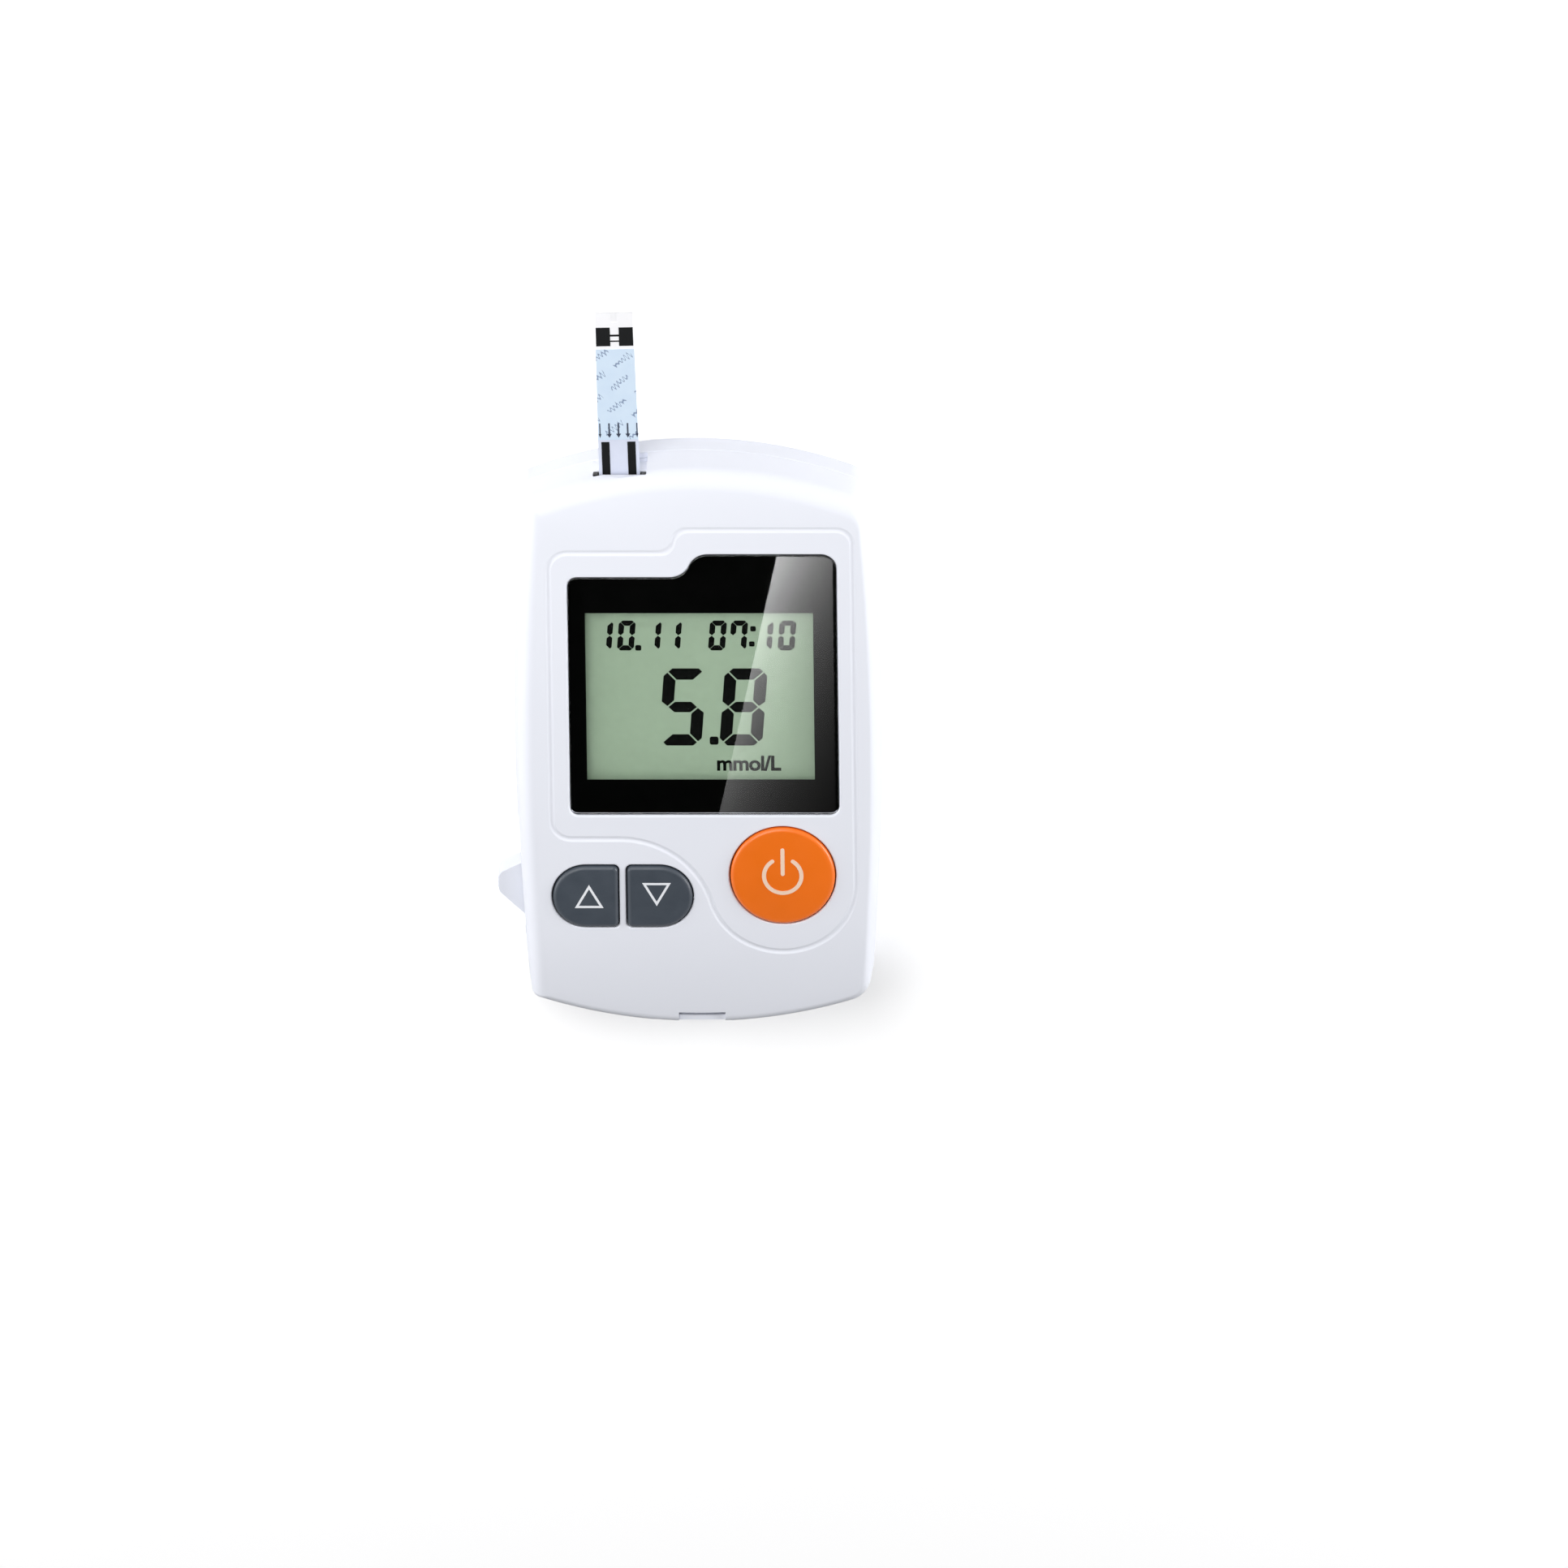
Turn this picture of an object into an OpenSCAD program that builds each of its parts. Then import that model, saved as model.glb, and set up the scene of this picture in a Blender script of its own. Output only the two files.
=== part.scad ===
// Blood glucose meter with a test strip in its port.
// The back face lies on z = 0, +Y points to the strip end and +X to the right, seen from the front.
// The origin is the centre of the back face. All sizes are in millimetres.

/* [Case] */
// Length of the case, from the bottom edge to the strip end
case_len = 86.5; // [86:0.1:88]
// Width of the case at its waist
case_w = 52; // [51.8:0.1:54]
// Thickness of the case, from the back face to the front face
case_t = 14.5; // [14.5:0.05:14.8]
// Height of the line where the two shells meet
part_z = 6.8; // [6.7:0.05:6.9]
// Wall thickness of both shells
wall = 1.6; // [1.5:0.05:1.65]
// Radius of the bowed long sides
side_r = 460; // [420:10:700]
// Radius of the bowed strip end
top_r = 62; // [62:1:80]
// Radius of the bowed bottom end
bottom_r = 70; // [68:1:90]
// Radius of the two tight corners on the left
left_corner_r = 1.4; // [1:0.1:2]
// Radius of the two round corners on the right
right_corner_r = 4; // [3:0.5:5]

/* [Display] */
// Left edge of the window, from the middle of the case
window_left = -18.1; // [-18.4:0.1:-17.9]
// Right edge of the window
window_right = 20.2; // [20:0.1:20.4]
// Bottom edge of the window
window_bottom = -10.05; // [-10.2:0.05:-9.8]
// Top edge of the window, left of the step
window_top_low = 26.75; // [26.5:0.05:27]
// Top edge of the window, right of the step
window_top_high = 30.3; // [30:0.1:30.6]
// Thickness of the window plate
window_t = 1.05; // [1:0.05:1.1]
// Width of the display seen through the mask
view_w = 32.3; // [31.5:0.1:32.5]
// Height of the display seen through the mask
view_h = 25.8; // [25:0.1:26]

/* [Buttons] */
// Radius of the power button
power_r = 7.43; // [7:0.01:7.5]
// Height of each arrow button
key_h = 9.45; // [9:0.05:9.5]
// Width of each arrow button
key_w = 9.3; // [9:0.05:9.4]
// White bar left between the arrow buttons
key_gap = 1.27; // [1.2:0.01:1.5]
// Gap between a button and the edge of its opening
key_clear = 0.17; // [0.12:0.01:0.2]
// Height by which the buttons stand out of the front face
key_proud = 0.35; // [0.2:0.05:0.5]
// How far a button goes in
key_travel = 0.5; // [0.3:0.05:0.5]

/* [Strip and ejector] */
// Width of the test strip at its contact end
strip_w = 5.8; // [5.5:0.05:5.85]
// Width of the test strip at its tip
strip_tip_w = 5.35; // [5.2:0.05:5.8]
// Length of the test strip
strip_len = 31.65; // [31.65:0.05:32.5]
// Stroke of the ejector slider
eject_travel = 5; // [3:0.5:5]
// Wire diameter of the ejector spring
spring_wire = 0.32; // [0.25:0.01:0.35]
// Turns of the ejector spring
spring_turns = 11; // [8:1:13]

/* [Battery] */
// Diameter of the coin cell
cell_d = 20; // [19.8:0.1:20]
// Thickness of the coin cell
cell_t = 3.2; // [3:0.1:3.2]
// Half of the battery door's width
door_half = 13.4; // [13.3:0.05:13.5]
// How far the battery door slides before it lifts off
door_travel = 6; // [5.5:0.5:6]

/* [Hidden] */

// Colours, as the photograph shows them
shell_white = [0.93, 0.94, 0.98];
slate = [0.23, 0.26, 0.30];
orange = [0.96, 0.45, 0.10];
board_green = [0.08, 0.36, 0.20];
tin = [0.78, 0.78, 0.80];

// A cut runs this far past the face it opens
over = 1;
// Facets of small round parts
round_fn = 32;

// Edges of the case in the order right, top, left, bottom: arc centres, radii and rounding
edge_c = [
  [case_w / 2 - side_r, 0], [0, case_len / 2 - top_r],
  [side_r - case_w / 2, 0], [0, bottom_r - case_len / 2]
];
edge_r = [side_r, top_r, side_r, bottom_r];
corner_r = [right_corner_r, left_corner_r, left_corner_r, right_corner_r];
draft_in = [0.25, 0.45, 0.45, 0.25];
front_round_in = [1.3, 2.8, 2.8, 1.3];
front_round_h = 3;
// Bevel of each shell where they meet, which leaves a fine V all round
seam = 0.12;
back_round_in = 3.2;
back_round_h = 3.2;
straight = [1, 1, 1, 1];
corner_steps = 7;
edge_steps = [12, 18, 12, 18];

// The front face is flat over the window and buttons and falls away towards both ends
flat_bottom_y = -26;
flat_top_y = 33;
fall_bottom_r = 120;
fall_top_r = 80;

// Inner roof of the front shell and floor of the back shell
roof_z = case_t - 1.8;
floor_z = wall;

// The lip of the front shell sits inside the upper edge of the back shell
lip_out = wall / 2 + 0.05;
lip_depth = 1;

// Window stack, from the front face down
window_sink = 0.1;
window_z = case_t - window_sink - window_t;
mask_t = 0.07;
gasket_t = 0.18;
pocket_z = window_z - mask_t - gasket_t;
step_left = -3.5;
step_right = 1.9;
view_x = 0.55;
view_y = 8.1;
ledge = 1;

// Circuit board
board_z = 8.2;
board_t = 1;
board_top = board_z + board_t;
board_left = -20.2;
board_right = 21.4;
board_bottom = -32.4;
board_shoulder_y = 31.8;
board_top_y = 38.9;
board_top_left = -16.7;
board_top_right = 16.4;

// Display stack above the board
glass_w = 36.4;
glass_top = 23;
rear_glass_bottom = -6.8;
front_glass_bottom = -9;
plate_t = 0.9;
film_t = 0.15;
rear_glass_z = 9.95;
front_glass_z = rear_glass_z + plate_t;
polarizer_z = front_glass_z + plate_t;
holder_rim = 1.1;
holder_top = 12.35;

// Buttons and their switches
power_at = [12, -19.35];
key_y = -22.6;
up_left = -20.7;
down_left = up_left + key_w + key_gap;
up_at = [up_left + 4.6, key_y];
down_at = [down_left + key_w - 4.6, key_y];
switch_at = [power_at, up_at, down_at];
key_round = 0.8;
flange = 0.55;
flange_z = roof_z - 0.1 - 0.7;
flange_t = 0.7;
key_top = case_t + key_proud;
switch_w = 4.6;
switch_h = 1.3;
well_r = 2;
well_floor = board_top + 0.3;
cover_t = 0.15;
cover_z = board_top + switch_h;
// A pressed button's stem stops on the switch's cover
stem_z = cover_z + cover_t + key_travel;
dome_rise = 0.42;

// Decorative groove
groove_w = 0.5;
groove_depth = 0.3;
panel_left = -20.7;
panel_right = 22.4;
panel_top_low = 30.6;
panel_top_high = 34.15;
panel_bottom = -13.7;
panel_r = 2.7;
panel_right_r = 2.3;
ring_at = [11.9, -20.7];
ring_r = panel_right - ring_at[0];
sweep_x = -11.2;

// Strip port
strip_x = -10.5;
strip_z = 10.65;
strip_tip = 66.1;
// The strip leans a little in its channel, turned about the port
strip_lean = 1.2;
strip_turn_y = 41.5;
strip_end = strip_tip - strip_len;
base_t = 0.25;
spacer_t = 0.1;
cover_film_t = 0.08;
ink_t = 0.03;
port_w = 7.6;
port_h = 1.4;
port_z = strip_z + 0.2 - port_h / 2;
guide_half = 3.9;
guide_y = 41.45;
guide_top = 11.95;
track_off = 1.84;
track_w = 1.15;
connector_w = 11;
connector_y = 32.4;
connector_len = 6.9;
connector_h = 3.3;
// The connector's mouth fills the port, just short of the guide's floor
mouth_front = guide_y - 0.12;
mouth_gap = 0.1;
channel_w = 6.2;
channel_h = 0.6;
contact_offs = [-2.3, -1.4, 1.4, 2.3];
contact_w = 0.5;
contact_t = 0.2;

// Ejector slider
lug_low = -30.4;
lug_high = -18.6;
lug_flat = [-23.9, -22.5];
lug_z = 4.3;
lug_h = 4.2;
lug_out = 28.6;
plate_x = -22.9;
plate_w = 1;
plate_low = -32;
plate_high = -9;
arm_x = -22.4;
arm_w = 1.5;
arm_z = 6.4;
arm_h = 1.5;
cross_y = 24;
cross_w = 2.6;
post_half = 1;
nose_w = 1.8;
nose_z = strip_z + 0.03;
nose_t = 0.36;
slot_z = 4;
slot_top = 10.2;
spring_at = [-21.8, 4.6];
spring_r = 0.95;
spring_stop_y = 5.5;
pin_r = 0.55;

// Battery bay
cell_at = [0, -21];
cell_z = 1.75;
holder_wall = 0.85;
holder_clear = 0.25;
holder_z = 2;
door_top_y = -8;
door_gap = 0.15;
hook_ys = [-14, -28];
hook_len = 3.5;
ledge_z = floor_z + 0.15;
ledge_t = 0.75;
ledge_in = 12.45;
latch_half = 5.25;
latch_x = -1.05;
latch_top = 12.9;
latch_neck = 12.2;
latch_in = 0.27;
latch_clear = 0.13;
tip_in = 1.45;
slit_x = 0.25;
slit_half = 3.3;
slit_in = 2.1;

// Screws: housing screws from the back, board screws from under the board
screw_at = [[-20.2, 35.9], [19.5, 35.6], [-20.2, -36], [19.3, -35.8]];
boss_r = 2.5;
head_r = 1.95;
head_h = 1.3;
seat_z = 2.6;
shank_r = 0.95;
shank_clear = 0.05;
screw_top = 11.4;
board_screw_at = [[19, 28.2], [19.9, -28.6], [-17.9, -30.4]];
board_pin_at = [-17.6, 28.4];
post_r = 1.9;
small_head_r = 1.5;
small_head_h = 1.1;
small_shank_r = 0.7;

// ---- Points along arcs and outlines ----

// Points along an arc
function arc(c, r, from, to, steps = 8) =
  [for (i = [0 : steps]) let (a = from + (to - from) * i / steps) c + r * [cos(a), sin(a)]];

// Where two circles cross, on the left of the line from a to b
function crossing(a, ra, b, rb) =
  let (
    d = norm(b - a),
    u = (b - a) / d,
    along = (ra * ra - rb * rb + d * d) / (2 * d),
    aside = sqrt(ra * ra - along * along)
  )
  a + along * u + aside * [-u[1], u[0]];

function heading(v) = (atan2(v[1], v[0]) + 360) % 360;

function fillet_r(k, inset) = max(corner_r[k] - min(inset[k], inset[(k + 1) % 4]), 0.3);

function fillet_c(k, inset) =
  let (n = (k + 1) % 4, r = fillet_r(k, inset))
  crossing(edge_c[k], edge_r[k] - inset[k] - r, edge_c[n], edge_r[n] - inset[n] - r);

function fillet_points(k, inset) =
  let (c = fillet_c(k, inset))
  arc(c, fillet_r(k, inset), heading(c - edge_c[k]), heading(c - edge_c[(k + 1) % 4]), corner_steps);

// The bowed edge that follows corner k, without its two ends
function edge_points(k, inset) =
  let (
    n = (k + 1) % 4,
    steps = edge_steps[n],
    from = heading(fillet_c(k, inset) - edge_c[n]),
    end = heading(fillet_c(n, inset) - edge_c[n]),
    to = end < from ? end + 360 : end
  )
  [for (i = [1 : steps - 1]) let (a = from + (to - from) * i / steps)
    edge_c[n] + (edge_r[n] - inset[n]) * [cos(a), sin(a)]];

// Outline of the case, drawn in by inset on each of its four edges
function outline(inset) = [for (k = [0 : 3]) each concat(fillet_points(k, inset), edge_points(k, inset))];

// Two equal arcs that join a level line to a lower one on its left
function s_step(x_high, y_high, x_low, y_low, steps = 8) =
  let (
    run = x_high - x_low,
    rise = y_high - y_low,
    turn = 2 * atan(rise / run),
    r = run / (2 * sin(turn))
  )
  concat(
    arc([x_high, y_high - r], r, 90, 90 + turn, steps),
    arc([x_low, y_low + r], r, 270 + turn, 270, steps)
  );

function window_outline(g = 0) = concat(
  arc([window_left + 1.2, window_bottom + 1.2], 1.2 + g, 180, 270),
  arc([window_right - 1.4, window_bottom + 1.4], 1.4 + g, 270, 360),
  arc([window_right - 2.3, window_top_high - 2.3], 2.3 + g, 0, 90),
  s_step(step_right - 0.6 * g, window_top_high + g, step_left - 0.6 * g, window_top_low + g),
  arc([window_left + 1.4, window_top_low - 1.4], 1.4 + g, 90, 180)
);

// Outline of the raised-looking panel round the display and the power button
function panel_outline(g = 0) =
  let (
    dx = ring_at[0] - sweep_x,
    dy = panel_bottom - ring_at[1],
    sweep = (dx * dx + dy * dy - ring_r * ring_r) / (2 * (dy + ring_r)),
    c = [sweep_x, panel_bottom - sweep],
    lean = atan2(ring_at[1] - c[1], dx)
  )
  concat(
    arc([panel_left + panel_r, panel_bottom + panel_r], panel_r + g, 180, 270),
    arc(c, sweep - g, 90, lean, 14),
    arc(ring_at, ring_r + g, 180 + lean, 360, 28),
    arc([panel_right - panel_right_r, panel_top_high - panel_right_r], panel_right_r + g, 0, 90),
    s_step(-0.9 - 0.7 * g, panel_top_high + g, -5 - 0.7 * g, panel_top_low + g),
    arc([panel_left + panel_r, panel_top_low - panel_r], panel_r + g, 90, 180)
  );

// Outline of an arrow button whose round end is on the left; g makes it larger
function key_outline(g = 0) =
  let (r = key_h / 2 + g, inner = key_w + g, c = min(key_round, key_round + g))
  concat(
    arc([key_h / 2, 0], r, 90, 270, 20),
    arc([inner - c, c - r], c, 270, 360, 4),
    arc([inner - c, r - c], c, 0, 90, 4)
  );

function lift(points, z) = [for (p = points) [p[0], p[1], z]];

// ---- Shapes that several parts use ----

// A closed skin through rings of points, each ring with the same number of points
module skin(rings) {
  n = len(rings[0]);
  last = len(rings) - 1;
  low = [for (i = [0 : n - 1]) i];
  high = [for (i = [n - 1 : -1 : 0]) last * n + i];
  sides = [
    for (k = [0 : last - 1]) for (i = [0 : n - 1])
      let (a = k * n + i, b = k * n + (i + 1) % n)
      each [[a, a + n, b + n], [a, b + n, b]]
  ];
  polyhedron([for (r = rings) each r], concat([low], sides, [high]));
}

// Insets of the outer surface at each height, as [height, inset of the four edges]
front_levels = concat(
  [[part_z, seam * straight], [part_z + seam, 0 * straight]],
  [for (a = [0 : 15 : 90])
    [case_t - front_round_h + front_round_h * sin(a), draft_in + front_round_in * (1 - cos(a))]]
);
back_levels = concat(
  [for (a = [0 : 15 : 90]) [back_round_h * (1 - cos(a)), back_round_in * (1 - sin(a)) * straight]],
  [[part_z - seam, 0 * straight], [part_z, seam * straight]]
);

module lofted(levels) {
  skin([for (l = levels) lift(outline(l[1]), l[0])]);
}

// Drop of the front face below case_t at a place along the case
function fall(y) =
  y < flat_bottom_y ? pow(flat_bottom_y - y, 2) / (2 * fall_bottom_r)
  : y > flat_top_y ? pow(y - flat_top_y, 2) / (2 * fall_top_r) : 0;

// Everything under the front face's long profile, less a margin
module under_face(margin = 0) {
  reach = case_len / 2 + over;
  ys = concat([for (y = [-reach : 2 : flat_bottom_y]) y], [for (y = [flat_top_y : 2 : reach]) y], [reach]);
  rotate([90, 0, 90])
    linear_extrude(case_w + 2 * over, center = true)
      polygon(concat([[reach, -over], [-reach, -over]], [for (y = ys) [y, case_t - margin - fall(y)]]));
}

module front_outside() {
  intersection() {
    lofted(front_levels);
    under_face();
  }
}

module back_outside() {
  lofted(back_levels);
}

module front_hollow() {
  lofted([
    [part_z - over, wall * straight],
    [part_z, wall * straight],
    [roof_z - 2.2, (wall + 0.25) * straight],
    [roof_z - 0.7, [2.3, 3.2, 2.9, 2.3]],
    [roof_z, [2.9, 4.2, 3.7, 2.9]]
  ]);
}

module back_hollow() {
  lofted([
    [floor_z, 4.4 * straight],
    [floor_z + 0.6, 3 * straight],
    [floor_z + 1.8, 2.1 * straight],
    [floor_z + 3, (wall + 0.05) * straight],
    [part_z + over, wall * straight]
  ]);
}

module slab(points, z, h) {
  translate([0, 0, z])
    linear_extrude(h)
      polygon(points);
}

// A box from its lowest to its highest corner
module span(low, high) {
  translate(low)
    cube(high - low);
}

module rod(at, z, h, r, fn = round_fn) {
  translate([at[0], at[1], z])
    cylinder(h = h, r = r, $fn = fn);
}

// Slot in the left wall for the slider's lug, with a recess in front of it
module ejector_slot() {
  span([-case_w, lug_low - 0.4, slot_z], [plate_x - 0.1, lug_high + eject_travel + 0.4, slot_top]);
}

// Flat-floored recess in the bowed end wall that leads the strip to its port
module strip_guide() {
  span([strip_x - guide_half, guide_y, part_z], [strip_x + guide_half, case_len / 2 + over, guide_top]);
}

// ---- Case ----

module window_recess() {
  slab(window_outline(0.06), pocket_z, case_t);
  span(
    [view_x - view_w / 2 - ledge, view_y - view_h / 2 - ledge, roof_z - over],
    [view_x + view_w / 2 + ledge, view_y + view_h / 2 + ledge, case_t]
  );
}

module button_openings() {
  rod(power_at, roof_z - over, case_t, power_r + key_clear, 96);
  translate([up_left, key_y, 0])
    slab(key_outline(key_clear), roof_z - over, case_t);
  translate([down_left + key_w, key_y, 0])
    mirror([1, 0, 0])
      slab(key_outline(key_clear), roof_z - over, case_t);
}

module panel_groove() {
  difference() {
    slab(panel_outline(groove_w / 2), case_t - groove_depth, over);
    slab(panel_outline(-groove_w / 2), 0, 2 * case_t);
  }
}

module strip_port() {
  span([strip_x - port_w / 2, connector_y + connector_len - 1, port_z],
    [strip_x + port_w / 2, case_len, port_z + port_h]);
}

// Room for the strip connector behind the end wall
module connector_pocket() {
  span([strip_x - connector_w / 2 - 0.25, connector_y - 0.5, board_z],
    [strip_x + connector_w / 2 + 0.25, connector_y + connector_len + 0.1, board_top + connector_h + 0.1]);
}

// Room in the front shell for the battery door's latch tongue, with a fingernail slit behind its tip
module latch_notch() {
  left = latch_x - latch_half - latch_clear;
  right = latch_x + latch_half + latch_clear;
  span([left, -case_len, part_z - 2], [right, -37, latch_neck]);
  difference() {
    union() {
      span([left, -case_len, part_z - 2], [right, -37, latch_top + latch_clear]);
      span([slit_x - slit_half, -case_len, latch_neck - 0.5], [slit_x + slit_half, -37, case_t + over]);
    }
    slab(outline(slit_in * straight), 0, case_t + 2 * over);
  }
}

module front_lip() {
  difference() {
    slab(outline(lip_out * straight), part_z - lip_depth, lip_depth + 0.5);
    slab(outline(wall * straight), 0, case_t);
    span([-door_half - 0.4, -case_len, 0], [door_half + 0.4, -30, case_t]);
    for (p = screw_at)
      rod(p, 0, part_z, boss_r + 0.15);
  }
}

// Ribs that stiffen the roof above the display and locate the strip connector
module front_ribs() {
  for (x = [strip_x - connector_w / 2 - 1.2, strip_x + connector_w / 2 + 0.3])
    span([x, 34, board_top + 0.4], [x + 0.9, 38.2, roof_z + 0.3]);
  for (x = [3.4, 15.4])
    span([x, 27, roof_z - 0.9], [x + 0.8, 38.5, roof_z + 0.3]);
  span([-8, -34.5, roof_z - 0.9], [14, -33.7, roof_z + 0.3]);
}

// Thicker wall behind the strip guide
module guide_backing() {
  intersection() {
    span([strip_x - guide_half - 1.2, 39, part_z],
      [strip_x + guide_half + 1.2, case_len / 2, roof_z + 0.3]);
    front_outside();
  }
}

module front_shell() {
  color(shell_white)
    difference() {
      union() {
        difference() {
          front_outside();
          front_hollow();
        }
        front_lip();
        front_ribs();
        guide_backing();
        for (p = screw_at)
          rod(p, part_z, roof_z + 0.2 - part_z, boss_r);
        for (p = board_screw_at)
          rod(p, board_top, roof_z + 0.2 - board_top, post_r);
        rod(board_pin_at, board_top, roof_z + 0.2 - board_top, post_r);
        rod(board_pin_at, board_z - 0.1, 2, 0.8);
      }
      window_recess();
      button_openings();
      panel_groove();
      strip_port();
      connector_pocket();
      strip_guide();
      ejector_slot();
      latch_notch();
      for (p = screw_at)
        rod(p, 0, screw_top + 0.4, shank_r + shank_clear);
      for (p = board_screw_at)
        rod(p, 0, roof_z - 0.3, small_shank_r + shank_clear);
    }
}

// Rails that carry the battery door, with gaps where its hooks come free
module door_rails() {
  for (s = [-1, 1])
    difference() {
      union() {
        span([min(s * 13.6, s * 14.6), -40.2, 0.4], [max(s * 13.6, s * 14.6), door_top_y + 1, 3.4]);
        span([min(s * ledge_in, s * 13.8), -38.5, ledge_z], [max(s * ledge_in, s * 13.8), door_top_y + 0.5,
          ledge_z + ledge_t]);
      }
      for (y = hook_ys)
        span([min(s * 12, s * 13.5), y - door_travel - hook_len / 2 - 0.4, 0],
          [max(s * 12, s * 13.5), y - door_travel + hook_len / 2 + 0.4, 5]);
    }
}

module back_ribs() {
  for (x = [-6, 4, 14])
    span([x, 2, floor_z - 0.3], [x + 0.9, 30, floor_z + 1]);
  span([-14.6, door_top_y + 0.2, floor_z - 0.3], [14.6, door_top_y + 1.2, 3.4]);
  span([-case_w / 2 + 1, spring_stop_y, floor_z - 0.3], [-20.6, spring_stop_y + 1.5, 5.6]);
}

module back_shell() {
  color(shell_white)
    difference() {
      union() {
        difference() {
          back_outside();
          back_hollow();
          slab(outline((wall / 2) * straight), part_z - lip_depth - 0.1, 3);
        }
        intersection() {
          back_outside();
          union() {
            back_ribs();
            door_rails();
            for (p = screw_at) {
              rod(p, 0.4, 3.4, boss_r + 0.5);
              rod(p, 0.4, part_z - 0.4, boss_r);
            }
          }
        }
      }
      span([-door_half - door_gap, -case_len, -over],
        [door_half + door_gap, door_top_y + door_gap, ledge_z - 0.01]);
      span([-door_half - door_gap, -case_len, 0], [door_half + door_gap, -37.5, case_t]);
      ejector_slot();
      for (p = screw_at) {
        rod(p, -over, seat_z + over, head_r + 0.2);
        rod(p, -over, case_t, shank_r + 0.15);
      }
    }
}

module door_hooks() {
  for (s = [-1, 1])
    for (y = hook_ys) {
      span([min(s * 11.6, s * 12.25), y - hook_len / 2, floor_z - 0.3], [max(s * 11.6, s * 12.25),
        y + hook_len / 2, ledge_z + ledge_t + 0.8]);
      span([min(s * 11.6, s * 13.2), y - hook_len / 2, ledge_z + ledge_t + 0.15], [max(s * 11.6, s * 13.2),
        y + hook_len / 2, ledge_z + ledge_t + 0.8]);
    }
}

// Tongue that follows the front shell's rounding, thinner at its tip
module latch_tongue() {
  difference() {
    intersection() {
      lofted(concat(
        [[4.4, latch_in * straight]],
        [for (l = front_levels) [l[0], l[1] + latch_in * straight]]
      ));
      span([latch_x - latch_half, -case_len, 0], [latch_x + latch_half, -38, latch_top]);
    }
    slab(outline(1.9 * straight), 0, case_t);
    slab(outline(tip_in * straight), latch_neck, case_t);
  }
}

module battery_door() {
  color(shell_white)
    difference() {
      union() {
        intersection() {
          difference() {
            back_outside();
            back_hollow();
          }
          span([-door_half, -case_len, -over], [door_half, door_top_y, part_z - 0.1]);
        }
        door_hooks();
        latch_tongue();
      }
      for (i = [0 : 4])
        span([-6, -36.5 + 1.6 * i, -over], [6, -35.7 + 1.6 * i, 0.35]);
    }
}

// ---- Display ----

module view_cut(grow, z, h) {
  span(
    [view_x - view_w / 2 - grow, view_y - view_h / 2 - grow, z],
    [view_x + view_w / 2 + grow, view_y + view_h / 2 + grow, z + h]
  );
}

module display_window() {
  color([0.75, 0.85, 0.9, 0.35])
    slab(window_outline(-0.05), window_z, window_t);
}

module window_mask() {
  color("black")
    difference() {
      slab(window_outline(-0.1), window_z - mask_t, mask_t);
      view_cut(0, 0, case_t);
    }
}

module window_gasket() {
  color([0.1, 0.1, 0.1])
    difference() {
      slab(window_outline(-0.3), pocket_z, gasket_t);
      view_cut(ledge + 0.1, 0, case_t);
    }
}

module glass_plate(bottom, z, h, shrink = 0) {
  span([view_x - glass_w / 2 + shrink, bottom + shrink, z],
    [view_x + glass_w / 2 - shrink, glass_top - shrink, z + h]);
}

module lcd_polarizer() {
  color([0.57, 0.67, 0.55])
    glass_plate(rear_glass_bottom, polarizer_z, film_t, 0.8);
}

module lcd_front_glass() {
  color([0.7, 0.8, 0.75, 0.5])
    glass_plate(front_glass_bottom, front_glass_z, plate_t);
}

module lcd_rear_glass() {
  color([0.7, 0.8, 0.75, 0.5])
    glass_plate(rear_glass_bottom, rear_glass_z, plate_t);
}

module lcd_reflector() {
  color([0.75, 0.76, 0.72])
    glass_plate(rear_glass_bottom, rear_glass_z - film_t, film_t, 0.8);
}

// Moulded frame that holds the glass, with the elastomer's slot along its lower side and two pegs
module lcd_holder() {
  left = view_x - glass_w / 2 - holder_rim;
  right = view_x + glass_w / 2 + holder_rim;
  top = glass_top + holder_rim - 0.1;
  bottom = front_glass_bottom - holder_rim - 0.1;
  color([0.88, 0.88, 0.86]) {
    difference() {
      span([left, bottom, board_top], [right, top, holder_top]);
      span([left + holder_rim - 0.1, rear_glass_bottom - 0.1, rear_glass_z - film_t],
        [right - holder_rim + 0.1, glass_top + 0.1, case_t]);
      span([left + holder_rim - 0.1, front_glass_bottom - 0.1, front_glass_z], [right - holder_rim + 0.1,
        glass_top, case_t]);
      span([left + 4, rear_glass_bottom + 2, 0], [right - 4, glass_top - 2, case_t]);
      span([left + 3, -8.8, 0], [right - 3, -7.05, case_t]);
      for (x = [left + 9, right - 12])
        span([x, glass_top, holder_top - 1], [x + 3, top + over, holder_top + over]);
    }
    rod([left + 0.9, top - 0.9], board_z - 0.2, board_t + 0.4, 0.6);
    rod([right - 0.9, bottom + 0.9], board_z - 0.2, board_t + 0.4, 0.6);
  }
}

module zebra_connector() {
  left = view_x - glass_w / 2 - holder_rim;
  right = view_x + glass_w / 2 + holder_rim;
  color([0.75, 0.45, 0.5])
    span([left + 3.2, -8.7, board_top], [right - 3.2, -7.15, front_glass_z]);
}

// ---- Board ----

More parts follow.
